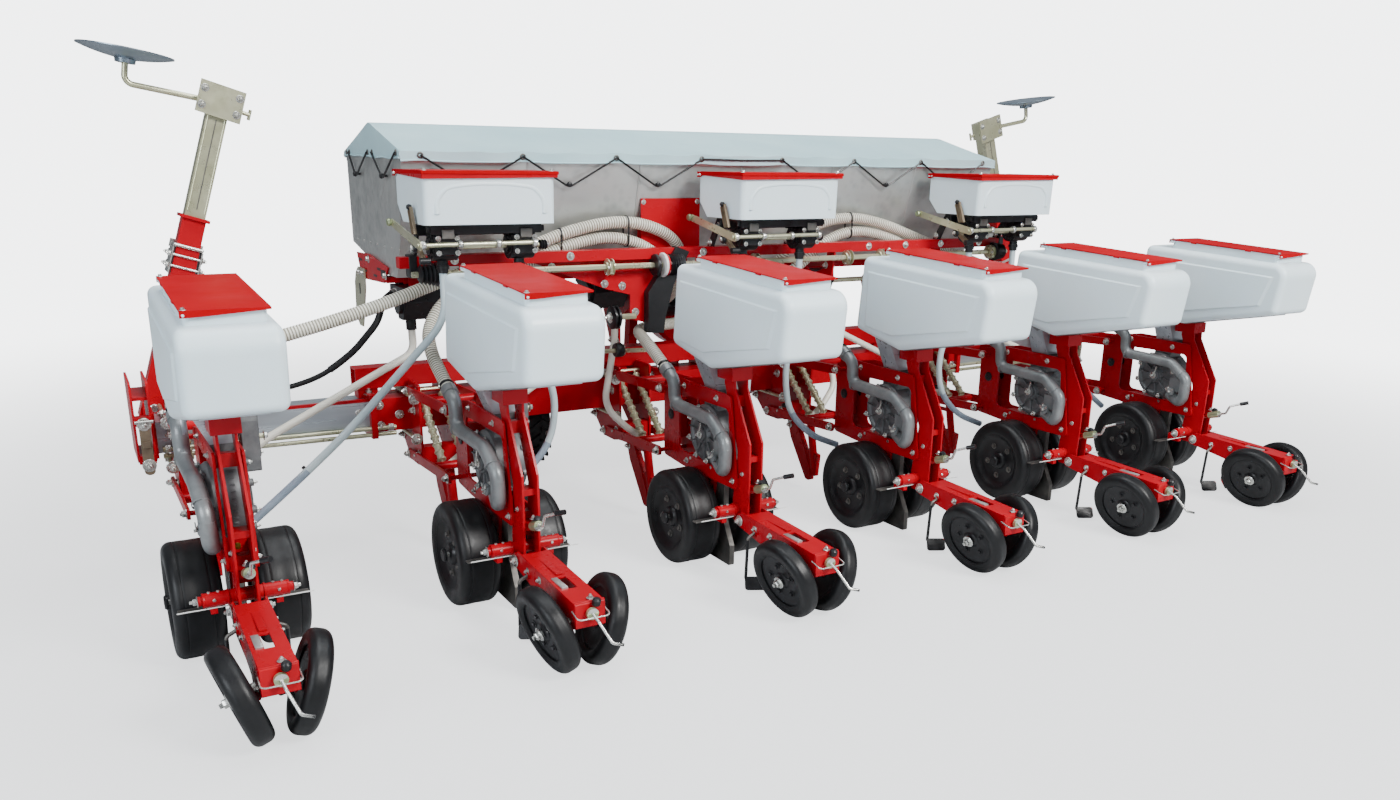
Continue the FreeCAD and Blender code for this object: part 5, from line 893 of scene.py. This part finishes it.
# ---------------------------------------------------------------- fertiliser hopper and its cover
GROMMETS = [-1410, -1010, -610, -210, 200, 600, 1000, 1400]
COVER_END, REAR_EAVE, FRONT_EAVE, EAVE_Z, HEM_Z = 1484.0, 1326.5, 2196.5, 1580.0, 1549.0
RIDGE_Y, RIDGE_Z = 1761.0, 1690.0
HEM_SHARE, ROOF_SHARE = 0.06, 0.44       # shares of the way round: from hem to eave, from eave to ridge
HEM_RADIUS, ELASTIC_RADIUS = 3.2, 4.0
BALL_HOOK = [(0, 0), (5, 0), (5, 12), (9, 15), (11.5, 22), (9, 29), (0, 32)]


def pull(x, spots, reach):
    """How strongly the nearest fixing pulls on the cloth at x, from 0 to 1."""
    return max(exp(-((x - s) / reach) ** 2) for s in spots)


def roof_point(x, t):
    """Place on the cover at x, with t from 0 at the rear hem to 1 at the front hem."""
    rise = 0.5 - abs(t - 0.5)
    front = t > 0.5
    eave = FRONT_EAVE if front else REAR_EAVE
    tug = pull(x, GROMMETS, 60)
    slack = 1 - pull(x, [-COVER_END, COVER_END], 220)
    if rise < HEM_SHARE:
        k = rise / HEM_SHARE
        out = 2.0 * sin(x / 61.0) * (1 - tug) * slack
        hem = HEM_Z - 5.0 * (1 - tug) + (9.0 * (1 - slack) if front else 0)
        return eave + (out if front else -out) * (1 - k), hem + (EAVE_Z - 4 - hem) * k
    k = (rise - HEM_SHARE) / ROOF_SHARE
    curve = k ** 1.04
    y = eave + (RIDGE_Y - eave) * curve
    z = EAVE_Z + (RIDGE_Z - EAVE_Z) * curve
    sag = 7.0 * sin(pi * k) * slack
    fold = 2.6 * exp(-k * 3.2) * cos(x / 32.0 + 2.0 * k) * slack
    fold += (1.5 * sin(x / 143.0 + 3.7 * t) * sin(pi * k)
             + 3.0 * tug * exp(-k * 9.0) * slack)
    return y, z - sag + fold * 0.9 - (2.5 if k > 0.985 else 0)


def gable_hem(y):
    """Height of the cover's hem on the hopper's ends."""
    spots = [1350, 1560, 1786, 1930, 2093]
    return 1556 - 4 * (1 - pull(y, spots, 46)) + 10 * (y - REAR_EAVE) / (FRONT_EAVE - REAR_EAVE)


def make_cover():
    columns, ends = 150, 5
    stations = [-COVER_END + 2 * COVER_END * i / columns for i in range(columns + 1)]
    steps = [0.0, 0.02, 0.045, HEM_SHARE] + [HEM_SHARE + ROOF_SHARE * k / 18 for k in range(1, 19)]
    steps += [1 - t for t in steps[-2::-1]]

    def end_column(side, share):
        column = []
        for t in steps:
            y, z = roof_point(side * COVER_END, t)
            low = min(gable_hem(y), z)
            bulge = 2.0 * sin(pi * share) + 1.2 * sin(y / 37.0) * share
            column.append((side * (COVER_END + 1.0 + bulge), y, z + (low - z) * share))
        return column
    grid = [end_column(-1, k / ends) for k in range(ends, 0, -1)]
    grid += [[(x, *roof_point(x, t)) for t in steps] for x in stations]
    grid += [end_column(1, k / ends) for k in range(1, ends + 1)]
    tall = len(steps)
    faces = [(c * tall + r, (c + 1) * tall + r, (c + 1) * tall + r + 1, c * tall + r + 1)
             for c in range(len(grid) - 1) for r in range(tall - 1)]
    shape = Shape(place())
    shape.put([p for column in grid for p in column], faces)
    cover = piece("cover_sheet", shape, "tarp", sharp=70)
    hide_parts("tarp_cover")
    # welded hem with its grommets
    hem, rings = Shape(place()), Shape(place())
    for t, off in ((0.0, -1.5), (1.0, 1.5)):
        hem.tube([(x, roof_point(x, t)[0] + off, roof_point(x, t)[1]) for x in stations], HEM_RADIUS, 6)
    along = [REAR_EAVE + (FRONT_EAVE - REAR_EAVE) * k / 40 for k in range(41)]
    for side in (-1, 1):
        hem.tube([(side * (COVER_END + 3), y, gable_hem(y)) for y in along], HEM_RADIUS, 6)
    spots = [((x, y, 1566), (0, s, 0)) for x in GROMMETS
             for y, s in ((REAR_EAVE - 2, -1), (FRONT_EAVE + 2, 1))]
    spots += [((s * (COVER_END + 3), y, 1574), (s, 0, 0)) for y in (1368, 1713, 1786, 2093, 2140)
              for s in (-1, 1)]
    for spot, axis in spots:
        rings.hoop([(6, 0), (12, 0), (12, 2), (8, 4), (6, 2)], spot, axis, 16)
    hem_piece = piece("cover_hem", hem, "tarp")
    ring_piece = piece("cover_grommets", rings, "dull_steel")
    # black elastics over ball hooks on the walls
    cords, hooks = Shape(place()), Shape(place())
    wall_y = 1333 + 90 * (1574 - 1462) / 324         # rear wall at the hooks
    for face in (-1, 1):
        y_wall, y_hem = (wall_y, REAR_EAVE - 7) if face < 0 else (2190, FRONT_EAVE + 7)
        y_hook = y_wall + face * 20
        for low, a, b in ((-1210, -1410, -1010), (-810, -1010, -610), (-410, -610, -210), (410, 200, 600),
                          (810, 600, 1000), (1210, 1000, 1400)):
            loop = [(a, y_hem, 1566), (low - 9, y_hook, 1456), (low + 9, y_hook, 1456), (b, y_hem, 1566)]
            cords.tube(eased(loop, 12), ELASTIC_RADIUS, 8)
            hooks.lathe(BALL_HOOK, (low, y_wall, 1462), (0, face, 0), 14)
        cords.tube([(-210, y_hem, 1566), (0, y_hem - face * 2, 1563), (200, y_hem, 1566)], ELASTIC_RADIUS, 8)
        end, pin = face * (COVER_END + 8), face * 1497
        for a, low, b in ((2093, 1964, 1786), (1713, 1543, 1368)):
            loop = [(end, a, 1574), (pin, low + 9, 1482), (pin, low - 9, 1482), (end, b, 1574)]
            cords.tube(eased(loop, 12), ELASTIC_RADIUS, 8)
            hooks.lathe(BALL_HOOK, (face * 1478, low, 1488), (face, 0, 0), 14)
    cord_piece = piece("cover_elastics", cords, "black_steel")
    piece("cover_ball_hooks", hooks, "black_steel")


def dress_bin():
    """Seams of the rear wall, and the rims, rivets and feet of the end walls."""
    kit = Kit("bin_fittings")
    steel, zinc = kit["stainless"], kit["zinc"]
    for x in (-985, -492, 0, 492, 985):
        seam = [Vector((x, wall, z)) for wall, z in ((1332.2, 1566), (1422.2, 1250), (1499, 1105.5))]
        steel.skin([[p + Vector((0, -1.6, -0.5)), p + Vector((3, 0, 0)), p - Vector((3, 0, 0))]
                    for p in seam])
    for s in (-1, 1):
        steel.flank([(1336, 1562), (2187, 1562), (2187, 1540), (1342, 1540)], 1478, 2.4, s)
        for k in range(7):
            zinc.lathe([(5, 0), (5, 1), (3, 3), (0, 3.4)], (s * 1478, 1440 + 110 * k, 1216), (s, 0, 0), 10)
        kit["black_steel"].beside(s, (1477, 1640, 1092), (1491, 1700, 1120), 2)
    kit.done()


# ---------------------------------------------------------------- upper beam, shafts and gear
def dress_beam():
    kit = Kit("beam_fittings")
    red, black, zinc, yellow = kit["red_paint"], kit["black_steel"], kit["zinc"], kit["zinc_yellow"]
    y, z = SHAFT_Y, SHAFT_Z
    # bearing flanges, rings and the bellows coupling on the hexagonal shaft
    for x in (-1390, -700, 0, 504, 700, 1390):
        for s in (-1, 1):
            yellow.hoop([(12.6, 0), (34, 0), (34, 3), (22, 5), (20, 9), (12.6, 9)], (x + s * 8, y, z),
                        (s, 0, 0), 26)
        for dy, dz in ((-22, 0), (22, 0), (0, -22)):
            zinc.bolt((x - 11, y + dy * 1.15, z + dz * 1.15), LEFT, 10)
    black.hoop([(12.6, -6), (42, -6), (46, -2), (46, 8), (40, 12), (12.6, 12)], (-493, y, z), RIGHT, 30)
    kit["white_plastic"].hoop([(13, 0), (48, 0), (50, 3), (50, 8), (48, 11), (13, 11)],
                              (-462, y, z), RIGHT, 36)
    red.hoop(collar(13, 44, 10), (-450, y, z), RIGHT, 36)
    zinc.bolts(ring_of((-439, y, z), RIGHT, 34, 6), RIGHT, 10)
    bellows = [(13, 0)]
    for k in range(6):
        bellows += [(33 + k * 0.8, 4 + 12 * k), (45 - k * 0.6, 10 + 12 * k)]
    black.lathe(bellows + [(33, 76), (13, 80), (13, 0)], (-438, y, z), RIGHT, 30)
    # red plate with its two ears, shield and black chain cover by the middle
    red.block((-475, 1373, 1186), (-190, 1378, 1405), 1.5)
    for x in (-475, -195):
        red.block((x, 1374, 1186), (x + 5, 1412, 1300), 1.5)
    zinc.bolts([(-462, 1373, 1390), (-203, 1373, 1390)], BACK, 11)
    red.front([(-1010, 1168), (-689, 1049), (-584, 1023), (-585, 920), (-520, 905), (-315, 1148),
               (-315, 1168)], 1268, 6)
    shield = ((-930, 1148), (-700, 1072), (-560, 950), (-350, 1140), (-620, 1060))
    zinc.bolts([(x, 1262, v) for x, v in shield], BACK, 17, stud=4)
    cover = [(-385, 1216), (-327, 1194), (-400, 1060), (-438, 930), (-448, 861), (-520, 865), (-519, 1034)]
    black.front(cover, 1262, 42)
    black.front([(x * 0.96 - 17, 1040 + (v - 1040) * 0.94) for x, v in cover], 1256, 8)
    zinc.bolts([(-372, 1256, 1190), (-498, 1256, 1024), (-490, 1256, 884)], BACK, 12)
    # pulley and joints on the two short shafts below the cover
    black.hoop([(14, 0), (40, 0), (48, 4), (48, 12), (36, 16), (36, 20), (48, 24), (48, 32), (40, 36),
                (14, 36)], (-676, 1262, 933), RIGHT, 30)
    zinc.bolt((-676, 1262, 933), LEFT, 24, stud=8)
    yellow.rod((-672, 1262, 933), (-560, 1262, 933), 13, 6)
    black.hoop([(10, 0), (27, 0), (30, 5), (30, 30), (26, 36), (10, 36)], (-636, 1308, 787), RIGHT)
    zinc.bolts(ring_of((-600, 1308, 787), RIGHT, 19, 4), RIGHT, 9)
    yellow.rod((-690, 1308, 787), (-458, 1308, 776), 10, 6)
    # bolts along the beam and on the stands
    for x in (-1330, -1080, -860, -250, 250, 640, 860, 1080, 1330):
        zinc.bolt((x, 1235, 1190), BACK, 17, stud=5)
    for x in (-1080, -450, 450, 1080):
        zinc.bolts([(x - 5, 1650, 760), (x - 5, 1712, 760)], LEFT, 19, stud=6)
        zinc.bolts([(x - 5, 1300, 1104), (x - 5, 1520, 1080)], LEFT, 17, stud=6)
    # under each end of the bin: slotted red plate, pale slotted plate bolted to it, feet and shaft's end
    for s in (-1, 1):
        out = (s, 0, 0)
        red.flank([(1600, 1135), (1881, 1166), (2103, 1160), (2042, 1053), (1670, 1068)], 1481, 6, s)
        # black sheets on the red plate stand for its slots: painted shade in the openings
        for a, b in ((2040, 1133), (1968, 1092), (1742, 1118), (1806, 1086)):
            black.flank([(a - 26, b - 5), (a + 26, b - 5), (a + 26, b + 5), (a - 26, b + 5)], 1486, 1.6, s)
        yellow.flank([(1956, 1100), (2072, 1100), (2118, 1072), (2146, 1030), (2164, 880), (2110, 842),
                      (2052, 842), (2030, 880), (1960, 1020)], 1490, 5, s)
        # black sheet on the pale plate stands for its slot: painted shade in the opening
        black.flank([(2048, 985), (2064, 985), (2064, 1030), (2048, 1030)], 1495, 1, s)
        zinc.bolts([(s * 1495, 1984, 1080), (s * 1495, 2040, 1080)], out, 15)
        zinc.bolts([(s * 1487, 1640, 1100), (s * 1487, 1900, 1145)], out, 17)
        red.beside(s, (1410, 1640, 1070), (1484, 1700, 1096), 2)
        black.beside(s, (1470, 1236, 1130), (1500, 1290, 1215), 3)
        red.beside(s, (1417, 1240, 1164), (1535, 1290, 1206), 2)
        yellow.rod((s * 1500, y, z), (s * 1420, y, z), 12, 6)
        lobes = [(13, 0)]
        for k in range(5):
            lobes += [(24 + k * 3, 3 + 15 * k), (36 + k * 2.5, 11 + 15 * k)]
        black.lathe(lobes + [(34, 76), (13, 78), (13, 0)], (s * 1478, y, z), (-s, 0, 0))
    kit.done()


def dress_granules():
    """Moulded arch, black underframe, clamps, levers and couplings of the three small hoppers."""
    for n, x in enumerate(GRANULE_X, 1):
        kit = Kit("granule_unit_%d" % n, matrix=place(x / 1000))
        milk, black, zinc, yellow = kit["milk_plastic"], kit["black_steel"], kit["zinc"], kit["zinc_yellow"]
        arch = [(196, 1372), (196, 1420), (160, 1462), (60, 1474)]
        arch = [(-a, b) for a, b in arch] + arch[::-1]
        milk.tube(eased([(a, 958.2, b) for a, b in arch], 34), 10.0, 14)
        milk.block((-236, 1000, 1505), (236, 1240, 1511), 2)
        # underframe: rails, cross plates and square blocks, with the teeth of each meter
        black.block((-218, 1014, 1306), (218, 1024, 1328), 2)
        black.block((-218, 1150, 1288), (218, 1162, 1326), 2)
        for c in (-145, 145):
            black.block((c - 44, 1012, 1226), (c + 44, 1060, 1296), 4)
            kit["dull_steel"].block((c - 22, 1002, 1284), (c + 22, 1013, 1318), 2)
            zinc.bolts([(c + d, 1012, b) for b in (1286, 1236) for d in (-34, 34)], BACK, 10, stud=4)
            for a in turns(12):
                black.cube((c - 47, GRANULE_Y + 36 * cos(a), GRANULE_Z + 36 * sin(a)), (3, 4, 4))
            kit["cast_aluminium"].hoop([(9.4, 0), (20, 0), (18, 12), (9.4, 14)],
                                       (c + 52, GRANULE_Y, GRANULE_Z), RIGHT, 20)
            black.hoop(collar(19.4, 23, 14), (c, 1090, 1174), UP, 20)
        # couplings at the shaft's ends and the foot of the brown latch
        for s in (-1, 1):
            black.hoop([(9.4, 0), (15, 0), (19, 5), (15, 10), (19, 15), (15, 20), (19, 25), (15, 30),
                        (9.4, 30)], (s * 222, GRANULE_Y, GRANULE_Z), (s, 0, 0), 20)
            zinc.bolt((s * 252, GRANULE_Y, GRANULE_Z), (s, 0, 0), 15, washer=False)
        brown = kit["brown_steel"]
        brown.flank([(1004, 1206), (1020, 1202), (1090, 1250), (1078, 1268)], -240, 8)
        # flat lever with its knob, its shaft, and the brown latch over it
        yellow.flank([(968, 1262), (976, 1250), (990, 1250), (1330, 1312), (1328, 1340), (978, 1280)],
                     -256, 6)
        green = kit["zinc_green"]
        green.lathe([(0, -3), (12, -1), (15, 7), (12, 15), (0, 17)], (-256, 1334, 1327), LEFT, 18)
        yellow.rod((-262, 988, 1266), (168, 988, 1268), 8, 14)
        for spot in (-250, -118, 22, 160):
            zinc.hoop([(8.2, 0), (15, 0), (16, 3), (16, 13), (12, 18), (8.2, 18)], (spot, 988, 1266.6),
                      RIGHT, 18)
        brown.flank([(1018, 1304), (1052, 1300), (1086, 1380), (1056, 1394)], -254, 3)
        brown.flank([(1018, 1304), (1024, 1302), (1062, 1392), (1056, 1394)], -262, 8)
        brown.flank([(1046, 1301), (1052, 1300), (1086, 1380), (1080, 1383)], -262, 8)
        black.knob([(8, 0), (10, 6), (10, 12), (6, 17)], (-250, 1074, 1392), LEFT, 16)
        for s in (-1, 1):
            zinc.bolts([(s * 198 - 4, 1196, 1300), (s * 198 - 4, 1262, 1226)], LEFT, 15, stud=5)
        kit.done()
        lid = Kit("granule_lid_%d_fittings" % n, body="granule_lid_%d_body" % n, matrix=place(x / 1000))
        zinc, red = lid["zinc"], lid["red_paint"]
        zinc.bolts([(-232, 962, 1517), (232, 962, 1517)], UP, 11)
        zinc.bolts([(-249, 1268, 1504), (249, 1268, 1504)], LEFT, 9, washer=False)
        red.front([(-246, 1490), (-246, 1518), (246, 1518), (246, 1496)], 943.5, 2.5)
        for s in (-1, 1):
            low = 1490 if s < 0 else 1496
            red.flank([(944, low), (944, 1518), (1270, 1518), (1270, 1502)], 244.8, 2.5, s)
        lid.done()


def clamp_tubes():
    """Black clamps where each granule tube meets its flexible end."""
    for n, row in enumerate(ROWS, 1):
        inward = -1 if row > 0 else 1
        kit = Kit("tube_clamp_%d" % n, matrix=place(row))
        black = kit["black_steel"]
        if n in (1, 6):
            spot, axis = Vector((inward * 302, 1113, 486)), (-inward * 198, 4, -168)
        else:
            spot, axis = Vector((inward * 334, 1116, 512)), (-inward * 26, -2, -174)
        black.hoop([(14.2, -6), (17, -6), (18, -3), (18, 3), (17, 6), (14.2, 6)], spot, axis, 20)
        black.block(spot + Vector((-5, -27, -5)), spot + Vector((5, -15, 5)), 1)
        kit.done()


# ---------------------------------------------------------------- toolbar, its ends and the markers
def dress_toolbar():
    kit = Kit("toolbar_fittings")
    for s in (-1, 1):
        kit.matrix = place(0, -s)
        zinc, yellow, brown, slide = kit["zinc"], kit["zinc_yellow"], kit["brown_steel"], kit["slide_steel"]
        # bolts of the collar, the end box and its link with the T-bolt
        zinc.bolts([(-1588, 1640, 626), (-1588, 1730, 626)], UP, 22, stud=10)
        zinc.bolts([(-1560, 1600, 500), (-1560, 1600, 585), (-1480, 1600, 540)], BACK, 19, stud=5)
        zinc.bolts([(-2300, 1608, 520), (-2120, 1608, 520)], BACK, 17)
        zinc.bolts([(-2422, 1470, 476), (-2422, 1470, 628)], BACK, 24, stud=9)
        zinc.tube([(-2452, 1452, 640), (-2392, 1452, 640)], 6, 10)
        brown.block((-2436, 1463, 540), (-2408, 1470, 566), 2)
        # threaded adjusting rods under the sliding tube, with their nuts
        for z in (500, 474):
            yellow.rod((-2366, 1592, z), (-1500, 1592, z - 8), 9, 10)
        slide.block((-2180, 1603, 520), (-2140, 1609, 560), 1)
        for x in (-2330, -2060, -1640):
            zinc.bolt((x, 1608, 560), BACK, 15)
        for x, z in ((-2356, 500), (-1530, 492)):
            zinc.hoop(collar(9.2, 16, 18), (x, 1592, z), RIGHT, 6)
        # marker fork's pin and stops
        for way in (-1, 1):
            zinc.bolt((-MARKER_X, MARKER_Y + way * 67, MARKER_Z), (0, way, 0), 30, tall=10, washer=False)
        zinc.bolts([(-2298, 1881, 590), (-2298, 1881, 640)], BACK, 17)
        # ferrules at the two ends of the hydraulic hose
        for end, inward in ((LEAD_ROUTE[0], LEAD_ROUTE[1]), (LEAD_ROUTE[-1], LEAD_ROUTE[-2])):
            start, inward = (Vector((-p[0], *p[1:])) for p in (end, inward))
            zinc.hoop([(10.1, -4), (15, -4), (15, 4), (13, 6), (13, 24), (10.1, 24)],
                      start, inward - start, 16)
    kit.done()
    for side, word in ((-1, "left"), (1, "right")):
        lean = Matrix.Translation((-MARKER_X, MARKER_Y, MARKER_Z)) @ Matrix.Rotation(MARKER_LEAN, 4, "Y")
        arm = Kit("marker_%s" % word, body="marker_%s_body" % word, matrix=place(0, -side) @ lean)
        zinc, yellow = arm["zinc"], arm["zinc_yellow"]
        zinc.bolts([(x, -60, z) for z in (1176, 1238) for x in (-62, 62)], BACK, 15, stud=5)
        yellow.rod((82, -8, 1196), (112, -8, 1196), 8)
        yellow.rod((112, -8, 1176), (112, -8, 1216), 6)
        for s in (-1, 1):
            arm["dull_steel"].block((-2, s * 37.6 - 0.6, 790), (2, s * 37.6 + 0.6, 1136), 0.3)
            for edge in (-30, 30):
                yellow.tube([(edge, s * 36.8, 780), (edge, s * 36.8, 1146)], 2.2, 8)
            zinc.beside(s, (49, -54, 528), (55, 54, 632), 1)
            for z in (558, 602):
                zinc.rod((-66, s * 47, z), (66, s * 47, z), 5, 12)
                zinc.bolt((-56, s * 47, z), LEFT, 15, stud=6)
                zinc.bolt((56, s * 47, z), RIGHT, 15, stud=6)
        arm.done()


TIE_RADIUS, TIE_WIDTH, TIE_THICK = 0.0262, 0.0035, 0.0022


def tie_hoses():
    """Black ties round the hoses where they run side by side over the beam."""
    shape = Shape(Matrix.Identity(4))
    for outer, inner, x in ((0, 1, -0.56), (5, 4, 0.60), (0, 1, -0.86)):
        ends = []
        for line in (HOSE_LINES[outer], HOSE_LINES[inner]):
            i = min(range(len(line)), key=lambda k: abs(line[k].x - x) + (0 if line[k].z > 1.1 else 9))
            ends.append((line[i], (line[i + 1] - line[i - 1]).normalized()))
        (a, along), (b, _) = ends
        up = (a - b).normalized()
        out = along.cross(up).normalized()
        ring = [(a if sin(t) >= 0 else b)
                + (out * cos(t) * TIE_RADIUS + up * sin(t) * TIE_RADIUS)
                for t in turns(28)]
        for p, q in zip(ring, ring[1:] + ring[:1]):
            shape.skin([[c + along * s * TIE_WIDTH + (c - (a + b) / 2).normalized() * t
                         for s, t in ((-1, 0), (1, 0), (1, TIE_THICK), (-1, TIE_THICK))] for c in (p, q)])
    piece("hose_ties", shape, "black_steel")


paint_parts()
make_wheels()
for number, row_x in enumerate(ROWS, 1):
    dress_row(number, row_x)
make_cover()
dress_bin()
dress_beam()
dress_granules()
dress_toolbar()
tie_hoses()
clamp_tubes()
